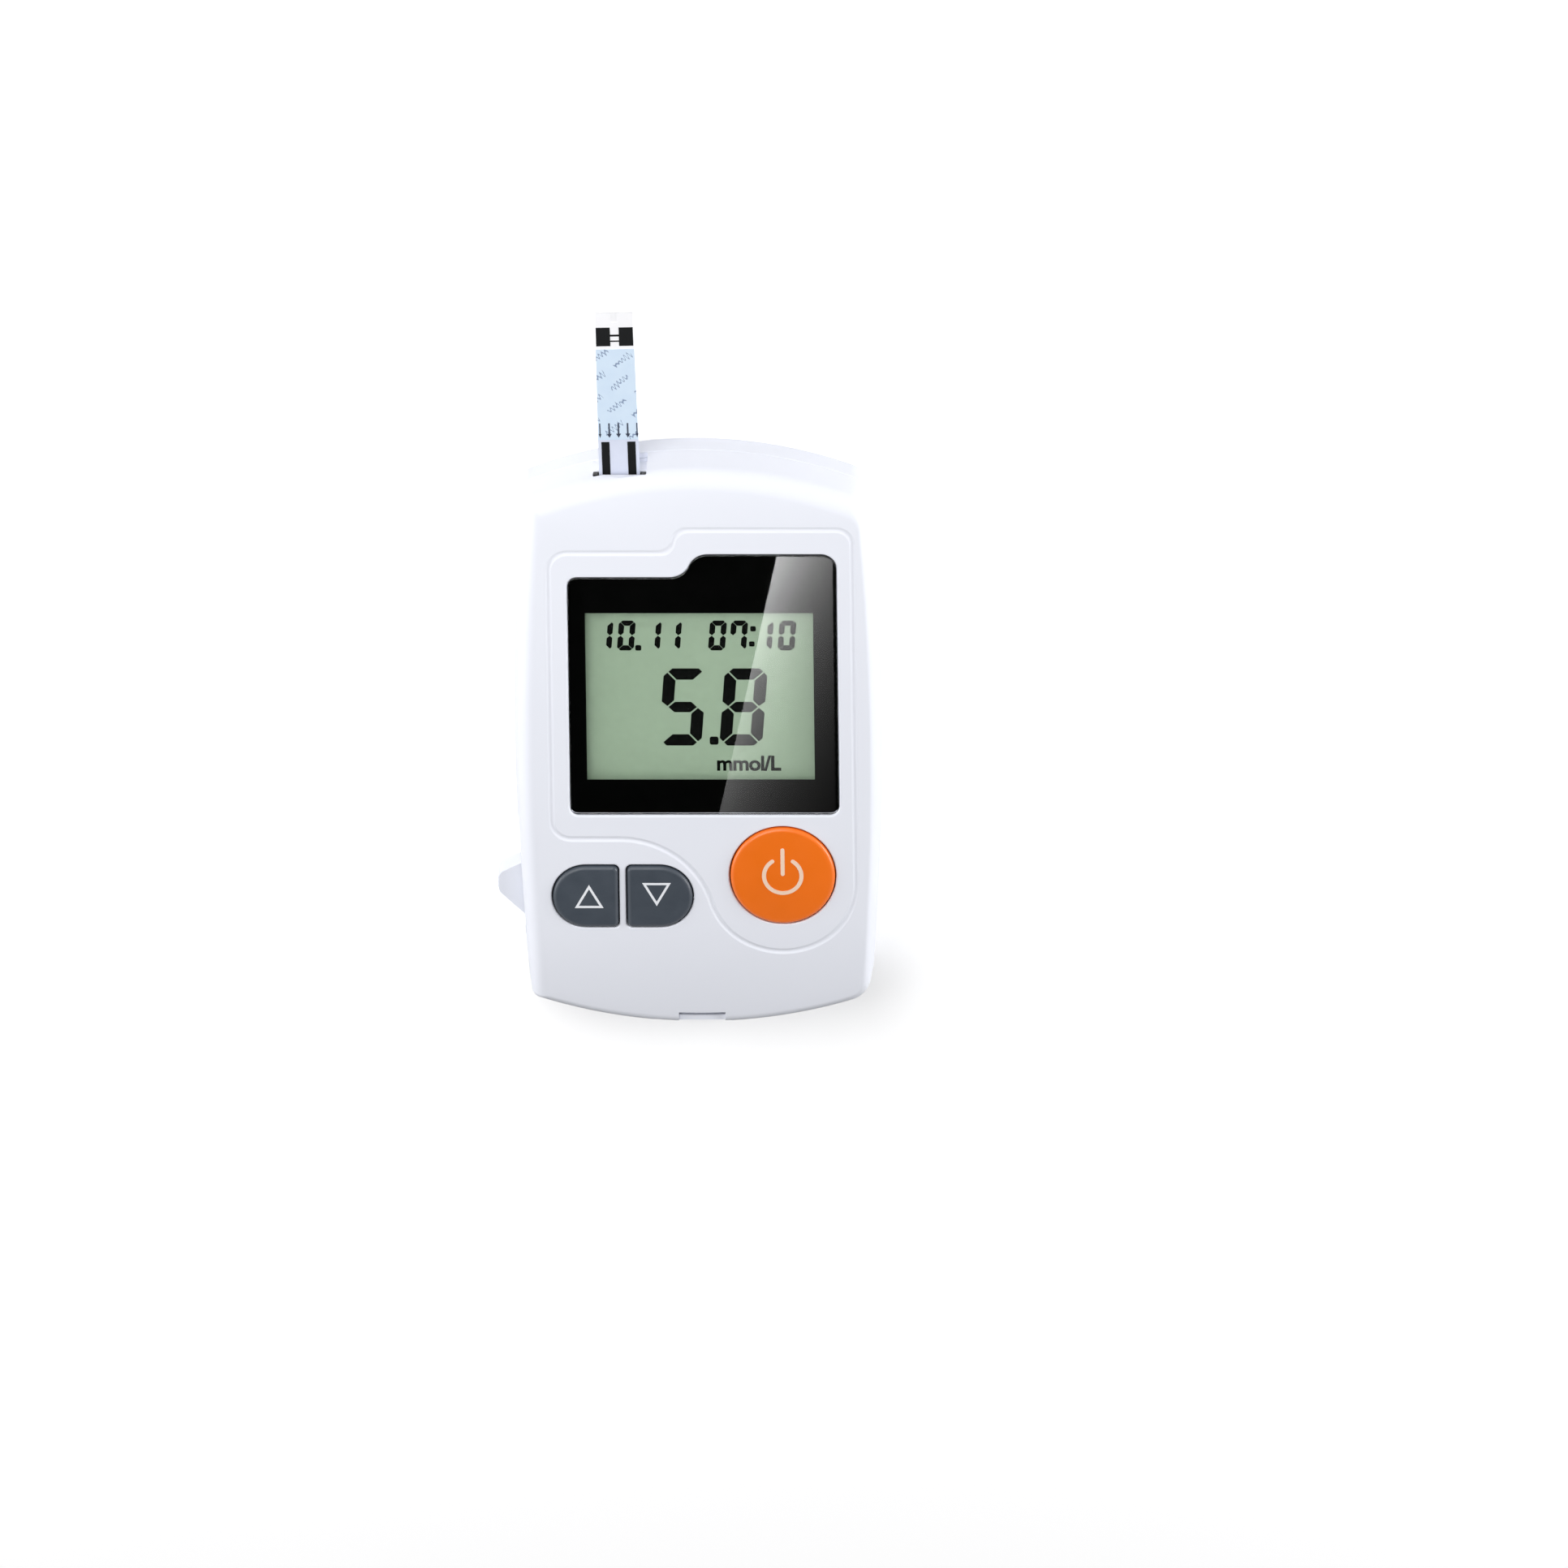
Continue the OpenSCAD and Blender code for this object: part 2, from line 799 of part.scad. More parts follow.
module circuit_board() {
  left = view_x - glass_w / 2 - holder_rim;
  right = view_x + glass_w / 2 + holder_rim;
  color(board_green)
    difference() {
      union() {
        span([board_left, board_bottom, board_z], [board_right, board_shoulder_y, board_top]);
        span([board_top_left, 30, board_z], [board_top_right, board_top_y, board_top]);
      }
      for (p = board_screw_at)
        rod(p, 0, case_t, small_shank_r + 0.15);
      rod(board_pin_at, 0, case_t, 0.85);
      rod([left + 0.9, glass_top + holder_rim - 1], 0, case_t, 0.65);
      rod([right - 0.9, front_glass_bottom - holder_rim + 0.8], 0, case_t, 0.65);
      span([strip_x - post_half - 0.3, cross_y + 0.1, 0],
        [strip_x + post_half + 0.3, cross_y + cross_w + eject_travel - 0.1, case_t]);
      for (c = [[board_left, board_bottom], [board_right, board_bottom]])
        translate([c[0], c[1], 0])
          rotate(45)
            cube([2.4, 2.4, 30], center = true);
    }
}

// A row of leads along one side of a chip body
module leads(count, pitch, reach, z) {
  for (i = [0 : count - 1])
    translate([(i - (count - 1) / 2) * pitch - 0.11, reach, z])
      cube([0.22, 1, 0.15]);
}

module processor_chip() {
  body = 10;
  color([0.12, 0.12, 0.13])
    translate([6, 6, 0]) {
      span([-body / 2, -body / 2, board_z - 1.45], [body / 2, body / 2, board_z - 0.1]);
      for (a = [0 : 90 : 270])
        rotate(a)
          leads(12, 0.75, body / 2 - 0.1, board_z - 0.15);
    }
}

module amplifier_chip() {
  color([0.12, 0.12, 0.13])
    translate([0.5, 35.8, 0]) {
      span([-2.5, -1.95, board_top + 0.1], [2.5, 1.95, board_top + 1.5]);
      for (a = [0, 180])
        rotate(a)
          leads(4, 1.27, 1.9, board_top);
    }
}

module timing_crystal() {
  color(tin)
    translate([-4.4, 29.4, board_top + 1]) {
      rotate([0, 90, 0])
        cylinder(h = 6, r = 1, $fn = round_fn);
      for (y = [-0.35, 0.35])
        translate([-1.6, y - 0.15, -1])
          cube([1.7, 0.3, 0.3]);
    }
}

module chip_components() {
  color([0.62, 0.55, 0.42]) {
    for (x = [-17.5 : 3 : -8.5])
      span([x, -15.4, board_top], [x + 1.6, -14.6, board_top + 0.6]);
    for (y = [25 : 2 : 29])
      span([9, y, board_top], [10.6, y + 0.8, board_top + 0.6]);
    for (x = [-12 : 4 : 12])
      span([x, 16, board_z - 0.6], [x + 1.6, 16.8, board_z]);
    span([2.6, -29.5, board_top], [6, -27.9, board_top + 1.4]);
  }
}

module buzzer() {
  color([0.14, 0.14, 0.15])
    translate([9.6, 34.6, board_top])
      difference() {
        cylinder(h = 2.9, r = 3.9, $fn = 48);
        translate([0, 0, 2.2])
          cylinder(h = 2, r = 0.9, $fn = round_fn);
      }
}

// ---- Buttons and switches ----

// Round button: shallow dome, rolled edge, hollow underside, flange and stem
module power_button() {
  dome = 0.28;
  dome_r = (power_r * power_r + dome * dome) / (2 * dome);
  top = [for (r = [0 : 0.9 : power_r - 0.5]) [r, key_top + dome - dome_r + sqrt(dome_r * dome_r - r * r)]];
  rolled = arc([power_r - 0.45, key_top - 0.45], 0.45, 80, 0, 5);
  color(orange)
    translate([power_at[0], power_at[1], 0])
      rotate_extrude($fn = 96)
        polygon(concat(
          top, rolled,
          [
            [power_r, flange_z + flange_t], [power_r + flange, flange_z + flange_t],
            [power_r + flange, flange_z], [power_r - 1.2, flange_z], [power_r - 1.2, key_top - 1.5],
            [1.6, key_top - 1.5], [1.6, stem_z], [0, stem_z]
          ]
        ));
}

// Arrow button with its round end on the left
module arrow_key() {
  skin([
    lift(key_outline(0), flange_z + 0.01),
    lift(key_outline(0), key_top - 0.4),
    lift(key_outline(-0.1), key_top - 0.17),
    lift(key_outline(-0.3), key_top - 0.04),
    lift(key_outline(-0.7), key_top)
  ]);
  slab(key_outline(flange), flange_z, flange_t);
  rod([4.6, 0], stem_z, flange_z - stem_z + 0.1, 1.5);
}

module up_button() {
  color(slate)
    translate([up_left, key_y, 0])
      arrow_key();
}

module down_button() {
  color(slate)
    translate([down_left + key_w, key_y, 0])
      mirror([1, 0, 0])
        arrow_key();
}

module plunger(at) {
  color([0.9, 0.9, 0.88]) {
    rod(at, cover_z - 0.45, 0.35, 1.6);
    rod(at, cover_z - 0.2, stem_z - cover_z + 0.2, 1.1);
  }
}

module power_plunger() {
  plunger(power_at);
}

module up_plunger() {
  plunger(up_at);
}

module down_plunger() {
  plunger(down_at);
}

// Thin snap dome, a spherical cap standing on the floor of the switch's well
module snap_dome(at) {
  r = 1.85;
  ball = (r * r + dome_rise * dome_rise) / (2 * dome_rise);
  reach = asin(r / ball);
  thick = 0.1;
  color(tin)
    translate([at[0], at[1], well_floor + 0.01 - (ball - thick) * cos(reach)])
      rotate_extrude($fn = round_fn)
        polygon(concat(arc([0, 0], ball, 90, 90 - reach, 6), arc([0, 0], ball - thick, 90 - reach, 90, 6)));
}

module power_dome() {
  snap_dome(power_at);
}

module up_dome() {
  snap_dome(up_at);
}

module down_dome() {
  snap_dome(down_at);
}

module switch_bases() {
  color([0.15, 0.15, 0.16])
    for (p = switch_at)
      difference() {
        translate([p[0], p[1], board_top + switch_h / 2])
          cube([switch_w, switch_w, switch_h], center = true);
        rod(p, well_floor, switch_h, well_r);
      }
}

module switch_covers() {
  color(tin)
    for (p = switch_at)
      difference() {
        union() {
          translate([p[0], p[1], cover_z + cover_t / 2])
            cube([switch_w, switch_w, cover_t], center = true);
          for (s = [-1, 1])
            translate([p[0] + s * (switch_w + cover_t) / 2, p[1], board_top + (switch_h + cover_t) / 2])
              cube([cover_t, 2.4, switch_h + cover_t], center = true);
        }
        rod(p, cover_z - over, 2 * over, 1.25);
      }
}

// ---- Strip port ----

module strip_connector() {
  color([0.13, 0.13, 0.14])
    difference() {
      union() {
        span([strip_x - connector_w / 2, connector_y, board_top],
          [strip_x + connector_w / 2, connector_y + connector_len, board_top + connector_h]);
        span([strip_x - port_w / 2 + mouth_gap, connector_y + connector_len - 1, port_z + mouth_gap],
          [strip_x + port_w / 2 - mouth_gap, mouth_front, strip_z + channel_h]);
      }
      span([strip_x - channel_w / 2, 0, strip_z - 0.05],
        [strip_x + channel_w / 2, case_len, strip_z + channel_h]);
      for (x = [for (dx = contact_offs) strip_x + dx])
        span([x - contact_w / 2 - 0.1, connector_y - over, strip_z],
          [x + contact_w / 2 + 0.1, connector_y + connector_len - 0.9, board_top + connector_h - 0.4]);
      for (s = [-1, 1])
        translate([strip_x + s * 4.7, connector_y + 3.5, board_top + connector_h])
          cylinder(h = 1.2, r = 0.5, center = true, $fn = 24);
    }
}

// Spring contacts: tail on the board, bend at the back, bowed down onto the strip
module strip_contacts() {
  touch = strip_z + base_t + ink_t + 0.02;
  top = board_top + connector_h - 0.65;
  line = [
    [connector_y - 0.65, board_top + 0.12], [connector_y - 0.3, board_top + 0.12],
    [connector_y - 0.25, top], [connector_y + 1.2, top], [connector_y + 3.1, touch + 0.3],
    [connector_y + 3.6, touch + 0.1], [connector_y + 4.1, touch + 0.3], [connector_y + 5, top - 0.3]
  ];
  color([0.85, 0.68, 0.35])
    for (dx = contact_offs)
      translate([strip_x + dx - contact_w / 2, 0, 0])
        rotate([90, 0, 90])
          linear_extrude(contact_w)
            offset(delta = contact_t / 2, chamfer = true)
              polygon(concat(line, [for (i = [len(line) - 1 : -1 : 0]) line[i] + [0.01, -0.01]]));
}

// Half of the strip's width at a place along it
function strip_half(y) =
  strip_w / 2 - (strip_w - strip_tip_w) / 2 * max(y - strip_turn_y, 0) / (strip_tip - strip_turn_y);

module leaned() {
  translate([strip_x, strip_turn_y, 0])
    rotate(strip_lean)
      translate([-strip_x, -strip_turn_y, 0])
        children();
}

// One layer of the strip between two places along it
module strip_layer(low, high, z, h) {
  ys = concat([low], low < strip_turn_y ? [strip_turn_y] : [], [high]);
  slab(concat(
    [for (y = ys) [strip_x + strip_half(y), y]],
    [for (i = [len(ys) - 1 : -1 : 0]) [strip_x - strip_half(ys[i]), ys[i]]]
  ), z, h);
}

// The strip is a white base, carbon ink, a spacer and a tinted cover film
module test_strip() {
  color([0.95, 0.96, 0.97])
    leaned()
      strip_layer(strip_end, strip_tip, strip_z, base_t);
}

spacer_y = strip_tip - 19.45;
film_end = strip_tip - 5.55;

module strip_spacer() {
  z = strip_z + base_t;
  color([0.97, 0.97, 0.98])
    leaned()
      difference() {
        strip_layer(spacer_y, strip_tip, z, spacer_t);
        span([strip_x - 0.5, strip_tip - 1.4, 0], [strip_x + 0.5, strip_tip + over, case_t]);
      }
}

module strip_cover() {
  color([0.75, 0.87, 0.96])
    leaned()
      strip_layer(spacer_y, film_end, strip_z + base_t + spacer_t, cover_film_t);
}

module strip_electrodes() {
  z = strip_z + base_t;
  block = strip_tip - 5.05;
  block_len = 2.85;
  color([0.08, 0.09, 0.1])
    leaned() {
      for (x = [strip_x - track_off, strip_x + track_off])
        span([x - track_w / 2, strip_end, z], [x + track_w / 2, spacer_y - 0.4, z + ink_t]);
      for (x = [strip_x - 1.62, strip_x + 1.62])
        span([x - 1, block, z + spacer_t], [x + 1, block + block_len, z + spacer_t + ink_t]);
      for (bar = [[0.65, 0.2], [1.46, 0.3]])
        span([strip_x - 0.7, block + bar[0], z + spacer_t], [strip_x + 0.7, block + bar[0] + bar[1],
          z + spacer_t + ink_t]);
    }
}

// ---- Ejector ----

// Thumb lug, cover plate behind the wall, arm under the board and nose behind the strip
module ejector_slider() {
  round = 1.3;
  pad_x = -lug_out + round;
  lug = concat(
    [[plate_x + 0.5, lug_low]],
    arc([pad_x, lug_flat[0]], round, 225, 180, 5),
    arc([pad_x, lug_flat[1]], round, 180, 120, 5),
    [[plate_x + 0.5, lug_high]]
  );
  color(shell_white) {
    slab(lug, lug_z, lug_h);
    for (i = [-1 : 1])
      translate([-lug_out + 0.05, (lug_flat[0] + lug_flat[1]) / 2 + 0.65 * i, lug_z + 0.5])
        cylinder(h = lug_h - 1, r = 0.2, $fn = 16);
    span([plate_x, plate_low, 4.6], [plate_x + plate_w, plate_high, slot_top + 0.4]);
    span([plate_x, plate_high - 2, 3.6], [-20.7, plate_high, arm_z + arm_h]);
    translate([spring_at[0], plate_high - 0.1, spring_at[1]])
      rotate([-90, 0, 0])
        cylinder(h = 6, r = pin_r, $fn = 24);
    span([arm_x, plate_high - 2, arm_z], [arm_x + arm_w, cross_y + cross_w, arm_z + arm_h]);
    span([arm_x, cross_y, arm_z], [strip_x + 1.6, cross_y + cross_w, arm_z + arm_h]);
    span([strip_x - post_half, cross_y + 0.4, arm_z],
      [strip_x + post_half, cross_y + cross_w - 0.4, nose_z + nose_t]);
    span([strip_x - nose_w / 2, cross_y + 1, nose_z],
      [strip_x + nose_w / 2, strip_end - 0.05, nose_z + nose_t]);
  }
}

// Compression spring: one unbroken wire with closed end turns, running along Y
module ejector_spring() {
  length = spring_stop_y - plate_high;
  per_turn = 12;
  sides = 6;
  steps = spring_turns * per_turn;
  run = length - spring_wire;
  // Share of the length covered: the first and last turns lie close together
  function advance(t) =
    let (close = 1.1 * spring_wire, mid = (run - 2 * close) / (spring_turns - 2))
    t < 1 ? close * t : t > spring_turns - 1 ? run - close * (spring_turns - t) : close + mid * (t - 1);
  rings = [
    for (i = [0 : steps])
      let (t = i / per_turn, a = 360 * t, y = plate_high + spring_wire / 2 + advance(t))
      [for (j = [0 : sides - 1])
        let (b = 360 * j / sides, r = spring_r + spring_wire / 2 * cos(b))
        [spring_at[0] + r * cos(a), y + spring_wire / 2 * sin(b), spring_at[1] + r * sin(a)]]
  ];
  color(tin)
    skin(rings);
}

// ---- Battery ----

module coin_cell() {
  r = cell_d / 2;
  color(tin)
    translate([cell_at[0], cell_at[1], cell_z])
      rotate_extrude($fn = 96)
        polygon([
          [0, 0], [r - 0.3, 0], [r, 0.3], [r, cell_t - 0.55], [r - 0.5, cell_t - 0.3],
          [r - 1, cell_t - 0.3], [r - 1.25, cell_t], [0, cell_t]
        ]);
}

// Open ring round the cell with a roof above it and slots for the contacts
module battery_holder() {
  inner = cell_d / 2 + holder_clear;
  color([0.12, 0.12, 0.13])
    difference() {
      rod(cell_at, holder_z, board_z - holder_z, inner + holder_wall, 96);
      rod(cell_at, 0, cell_z + cell_t + 0.35, inner, 96);
      rod(cell_at, cell_z + cell_t + 1.25, case_t, inner, 96);
      span([-8.5, cell_at[1] - 2, 0], [6, cell_at[1] + 2, case_t]);
      span([8, cell_at[1] - 2.6, 0], [14, cell_at[1] + 2.6, case_t]);
      span([-13, -32.4, 0], [13, cell_at[1] - 9.2, 4]);
    }
}

// Leaf that presses on the side of the cell
module positive_contact() {
  x = cell_d / 2 + 0.02;
  color(tin)
    translate([0, cell_at[1] + 2, 0])
      rotate([90, 0, 0])
        linear_extrude(4)
          polygon([
            [x + 0.6, board_z], [x + 0.6, 5], [x, 4], [x, 3.4], [x + 0.5, 2.4], [x + 0.8, 2.4],
            [x + 0.3, 3.5], [x + 0.3, 3.9], [x + 0.9, 4.9], [x + 0.9, board_z]
          ]);
}

// Leaf that presses down on the middle of the cell
module negative_contact() {
  z = cell_z + cell_t + 0.02;
  t = 0.25;
  color(tin)
    translate([0, cell_at[1] + 1.5, 0])
      rotate([90, 0, 0])
        linear_extrude(3)
          polygon([
            [-8, board_z], [-8, board_z - t], [-4, board_z - t], [0, z], [1.5, z], [3, z + 1],
            [3, z + 1 + t], [1.4, z + t], [0.1, z + t], [-3.8, board_z]
          ]);
}

// ---- Screws ----

module screw(at, z, r, h, shank, top) {
  rod(at, z - h, h, r);
  rod(at, z - 0.1, top - z + 0.1, shank);
}

module housing_screws() {
  color(tin)
    for (p = screw_at)
      difference() {
        screw(p, seat_z, head_r, head_h, shank_r, screw_top);
        for (a = [0, 90])
          translate([p[0], p[1], seat_z - head_h])
            rotate(a)
              cube([2.2, 0.5, 1.2], center = true);
      }
}

module board_screws() {
  color(tin)
    for (p = board_screw_at)
      difference() {
        screw(p, board_z, small_head_r, small_head_h, small_shank_r, board_top + 2.4);
        for (a = [0, 90])
          translate([p[0], p[1], board_z - small_head_h])
            rotate(a)
              cube([1.8, 0.4, 0.9], center = true);
      }
}

front_shell();
back_shell();
battery_door();
display_window();
window_mask();
window_gasket();
lcd_polarizer();
lcd_front_glass();
lcd_rear_glass();
lcd_reflector();
lcd_holder();
zebra_connector();
circuit_board();
processor_chip();
amplifier_chip();
timing_crystal();
chip_components();
buzzer();
power_button();
up_button();
down_button();
power_plunger();
up_plunger();
down_plunger();
power_dome();
up_dome();
down_dome();
switch_bases();
switch_covers();
strip_connector();
strip_contacts();
ejector_slider();
ejector_spring();
battery_holder();
positive_contact();
negative_contact();
coin_cell();
housing_screws();
board_screws();
test_strip();
strip_spacer();
strip_cover();
strip_electrodes();
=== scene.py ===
"""Looks for the blood glucose meter: finer skins, printed signs, materials, light and camera."""

import math
from functools import partial

import bmesh
import bpy
from mathutils import Matrix, Vector
from mathutils.bvhtree import BVHTree
from mathutils.interpolate import poly_3d_calc

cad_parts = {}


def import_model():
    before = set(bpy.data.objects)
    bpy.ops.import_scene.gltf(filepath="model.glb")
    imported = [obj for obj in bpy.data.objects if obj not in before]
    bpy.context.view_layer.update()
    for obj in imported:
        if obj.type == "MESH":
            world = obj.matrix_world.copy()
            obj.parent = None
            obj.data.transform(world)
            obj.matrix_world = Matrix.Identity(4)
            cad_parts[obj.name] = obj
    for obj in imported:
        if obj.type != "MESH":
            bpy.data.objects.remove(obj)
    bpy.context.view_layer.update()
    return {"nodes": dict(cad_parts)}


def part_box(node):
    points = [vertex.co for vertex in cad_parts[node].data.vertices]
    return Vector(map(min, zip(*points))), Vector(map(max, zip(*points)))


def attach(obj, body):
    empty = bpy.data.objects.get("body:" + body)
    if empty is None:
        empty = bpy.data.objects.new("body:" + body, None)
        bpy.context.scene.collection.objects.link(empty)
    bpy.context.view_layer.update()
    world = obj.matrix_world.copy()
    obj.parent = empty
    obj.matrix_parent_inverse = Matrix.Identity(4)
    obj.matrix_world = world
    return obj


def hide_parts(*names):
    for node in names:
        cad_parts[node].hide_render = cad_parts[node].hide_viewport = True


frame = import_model()

MM = 0.001


def box_mm(node):
    """Lowest and highest corner of a CAD node, in millimetres."""
    low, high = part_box(node)
    return [c / MM for c in low], [c / MM for c in high]


def centre_mm(node):
    low, high = box_mm(node)
    return [(a + b) / 2 for a, b in zip(low, high)]


# ---- Measures of the mouldings, in millimetres ----

# Case; four edges run right, top, left, bottom, and four corners start with the top right one
CASE_T = 14.5
PART_Z = box_mm("back_shell")[1][2]
CASE_W = 52.0
CASE_LEN = 86.5
SIDE_R, TOP_R, BOTTOM_R = 460.0, 62.0, 70.0
EDGE_R = (SIDE_R, TOP_R, SIDE_R, BOTTOM_R)
EDGE_C = (
    (CASE_W / 2 - SIDE_R, 0),
    (0, CASE_LEN / 2 - TOP_R),
    (SIDE_R - CASE_W / 2, 0),
    (0, BOTTOM_R - CASE_LEN / 2),
)
CORNER_R = (4.0, 1.4, 1.4, 4.0)
DRAFT_IN = (0.25, 0.45, 0.45, 0.25)
ROUND_IN = (1.3, 2.8, 2.8, 1.3)
ROUND_H = 3.0
FLAT_BOTTOM_Y, FLAT_TOP_Y = -26.0, 33.0
FALL_BOTTOM_R, FALL_TOP_R = 120.0, 80.0
WALL = 1.6
ROOF_Z = CASE_T - 1.8
SEAM = 0.12

# Window, the pocket around it and the display seen through it
WINDOW_LEFT, WINDOW_RIGHT = -18.1, 20.2
WINDOW_BOTTOM, WINDOW_TOP_LOW, WINDOW_TOP_HIGH = -10.05, 26.75, 30.3
STEP_LEFT, STEP_RIGHT = -3.5, 1.9
WINDOW_LOW_Z, WINDOW_TOP_Z = (box_mm("display_window")[i][2] for i in (0, 1))
POCKET_Z = box_mm("window_gasket")[0][2]
VIEW = ((-15.6, -4.8), (16.7, 21.0))
LEDGE = 1.0
RIM = 0.22
WINDOW_PLAY, WINDOW_ROUND = 0.05, 0.16
LCD_TOP = box_mm("lcd_polarizer")[1][2]

# Buttons
POWER_AT = centre_mm("power_button")[:2]
POWER_R = 7.43
POWER_CROWN, POWER_ROLL = 0.28, 0.55
POWER_SKIRT, POWER_ROOF, POWER_STEM_R = 1.2, 1.5, 1.6
KEY_Y = centre_mm("up_button")[1]
KEY_H, KEY_W, KEY_GAP = 9.45, 9.3, 1.27
UP_LEFT = -20.7
DOWN_RIGHT = UP_LEFT + 2 * KEY_W + KEY_GAP
KEY_TOP = box_mm("up_button")[1][2]
KEY_CLEAR = 0.17
KEY_CORNER = 0.8
KEY_ROLL = 0.6
KEY_STEM_X, KEY_STEM_R = 4.6, 1.5
FLANGE_LOW, FLANGE_T, FLANGE_OUT = ROOF_Z - 0.8, 0.7, 0.55
SIGN_T = 0.03

# Decorative groove around the window and the power button
PANEL_LEFT, PANEL_RIGHT = -20.7, 22.4
PANEL_TOP_LOW, PANEL_TOP_HIGH, PANEL_BOTTOM = 30.6, 34.15, -13.7
PANEL_R, PANEL_RIGHT_R = 2.7, 2.3
RING_AT = (11.9, -20.7)
RING_R = PANEL_RIGHT - RING_AT[0]
SWEEP_X = -11.2

# Strip port and guide
PORT_X = -10.5
PORT_W, PORT_H = 7.6, 1.4
PORT_Z = box_mm("test_strip")[0][2] + 0.2 - PORT_H / 2
GUIDE_HALF, GUIDE_Y, GUIDE_TOP = 3.9, 41.45, 12.9
STRIP_LEAN, STRIP_TURN_Y = 1.2, 41.5

# Notch of the battery door's latch, and the ejector's slot in the left wall
LATCH_X, LATCH_HALF, LATCH_Y = -1.05, 5.38, -37
LATCH_NECK_TOP, LATCH_TOP = 12.2, 13.03
NAIL_SLIT_LEFT, NAIL_SLIT_RIGHT, NAIL_SLIT_LOW = -3.05, 3.55, 11.7
EJECTOR_SLOT = ((-CASE_W, -30.8, 4), (-23, -13.2, 10.2))

# ---- Outlines ----


def on_circle(c, r, degrees):
    a = math.radians(degrees)
    return (c[0] + r * math.cos(a), c[1] + r * math.sin(a))


def arc(c, r, start, end, steps=10):
    return [on_circle(c, r, start + (end - start) * i / steps) for i in range(steps + 1)]


def round_box(c, w, h, r, steps):
    """A w by h rectangle about c with corners of radius r."""
    dx, dy = w / 2 - r, h / 2 - r
    corners = (((dx, dy), 0), ((-dx, dy), 90), ((-dx, -dy), 180), ((dx, -dy), 270))
    return [p for (x, y), a in corners for p in arc((c[0] + x, c[1] + y), r, a, a + 90, steps)]


def quarter_round(r, step=15, first=0):
    """Steps up a quarter circle of radius r: how far in from its side and how far up."""
    turns = [math.radians(a) for a in range(first, 91, step)]
    return [(r * (1 - math.cos(a)), r * math.sin(a)) for a in turns]


def crossing(a, ra, b, rb):
    """Where two circles cross, on the left of the line from a to b."""
    dx, dy = b[0] - a[0], b[1] - a[1]
    d = math.hypot(dx, dy)
    ux, uy = dx / d, dy / d
    along = (ra * ra - rb * rb + d * d) / (2 * d)
    aside = math.sqrt(ra * ra - along * along)
    return (a[0] + along * ux - aside * uy, a[1] + along * uy + aside * ux)


def heading(c, origin):
    return math.degrees(math.atan2(c[1] - origin[1], c[0] - origin[0])) % 360


def outline(inset, corner_steps=12, edge_steps=(36, 60, 36, 60)):
    """The case's outline, drawn in by inset on its right, top, left and bottom edges."""
    radius = [max(CORNER_R[k] - min(inset[k], inset[(k + 1) % 4]), 0.3) for k in range(4)]
    centre = []
    for k in range(4):
        n = (k + 1) % 4
        reach = [EDGE_R[i] - inset[i] - radius[k] for i in (k, n)]
        centre.append(crossing(EDGE_C[k], reach[0], EDGE_C[n], reach[1]))
    points = []
    for k in range(4):
        n = (k + 1) % 4
        c, r = centre[k], radius[k]
        points += arc(c, r, heading(c, EDGE_C[k]), heading(c, EDGE_C[n]), corner_steps)
        start, end = heading(c, EDGE_C[n]), heading(centre[n], EDGE_C[n])
        if end < start:
            end += 360
        points += arc(EDGE_C[n], EDGE_R[n] - inset[n], start, end, edge_steps[n])[1:-1]
    return points


def s_step(x_high, y_high, x_low, y_low, steps=12):
    """Two equal arcs that join a level line to a lower one on its left."""
    run, rise = x_high - x_low, y_high - y_low
    turn = 2 * math.degrees(math.atan(rise / run))
    r = run / (2 * math.sin(math.radians(turn)))
    return arc((x_high, y_high - r), r, 90, 90 + turn, steps) + arc(
        (x_low, y_low + r), r, 270 + turn, 270, steps
    )


def window_outline(g=0.0):
    return (
        arc((WINDOW_LEFT + 1.2, WINDOW_BOTTOM + 1.2), 1.2 + g, 180, 270)
        + arc((WINDOW_RIGHT - 1.4, WINDOW_BOTTOM + 1.4), 1.4 + g, 270, 360)
        + arc((WINDOW_RIGHT - 2.3, WINDOW_TOP_HIGH - 2.3), 2.3 + g, 0, 90)
        + s_step(STEP_RIGHT - 0.6 * g, WINDOW_TOP_HIGH + g, STEP_LEFT - 0.6 * g, WINDOW_TOP_LOW + g)
        + arc((WINDOW_LEFT + 1.4, WINDOW_TOP_LOW - 1.4), 1.4 + g, 90, 180)
    )


def panel_outline(g=0.0):
    """Line of the decorative groove, drawn outwards by g."""
    dx, dy = RING_AT[0] - SWEEP_X, PANEL_BOTTOM - RING_AT[1]
    sweep = (dx * dx + dy * dy - RING_R * RING_R) / (2 * (dy + RING_R))
    c = (SWEEP_X, PANEL_BOTTOM - sweep)
    lean = math.degrees(math.atan2(RING_AT[1] - c[1], dx))
    right = (PANEL_RIGHT - PANEL_RIGHT_R, PANEL_TOP_HIGH - PANEL_RIGHT_R)
    corner = (PANEL_LEFT + PANEL_R, PANEL_BOTTOM + PANEL_R)
    return (
        arc(corner, PANEL_R + g, 180, 270)
        + arc(c, sweep - g, 90, lean, 24)
        + arc(RING_AT, RING_R + g, 180 + lean, 360, 48)
        + arc(right, PANEL_RIGHT_R + g, 0, 90)
        + s_step(-0.9 - 0.7 * g, PANEL_TOP_HIGH + g, -5 - 0.7 * g, PANEL_TOP_LOW + g)
        + arc((PANEL_LEFT + PANEL_R, PANEL_TOP_LOW - PANEL_R), PANEL_R + g, 90, 180)
    )


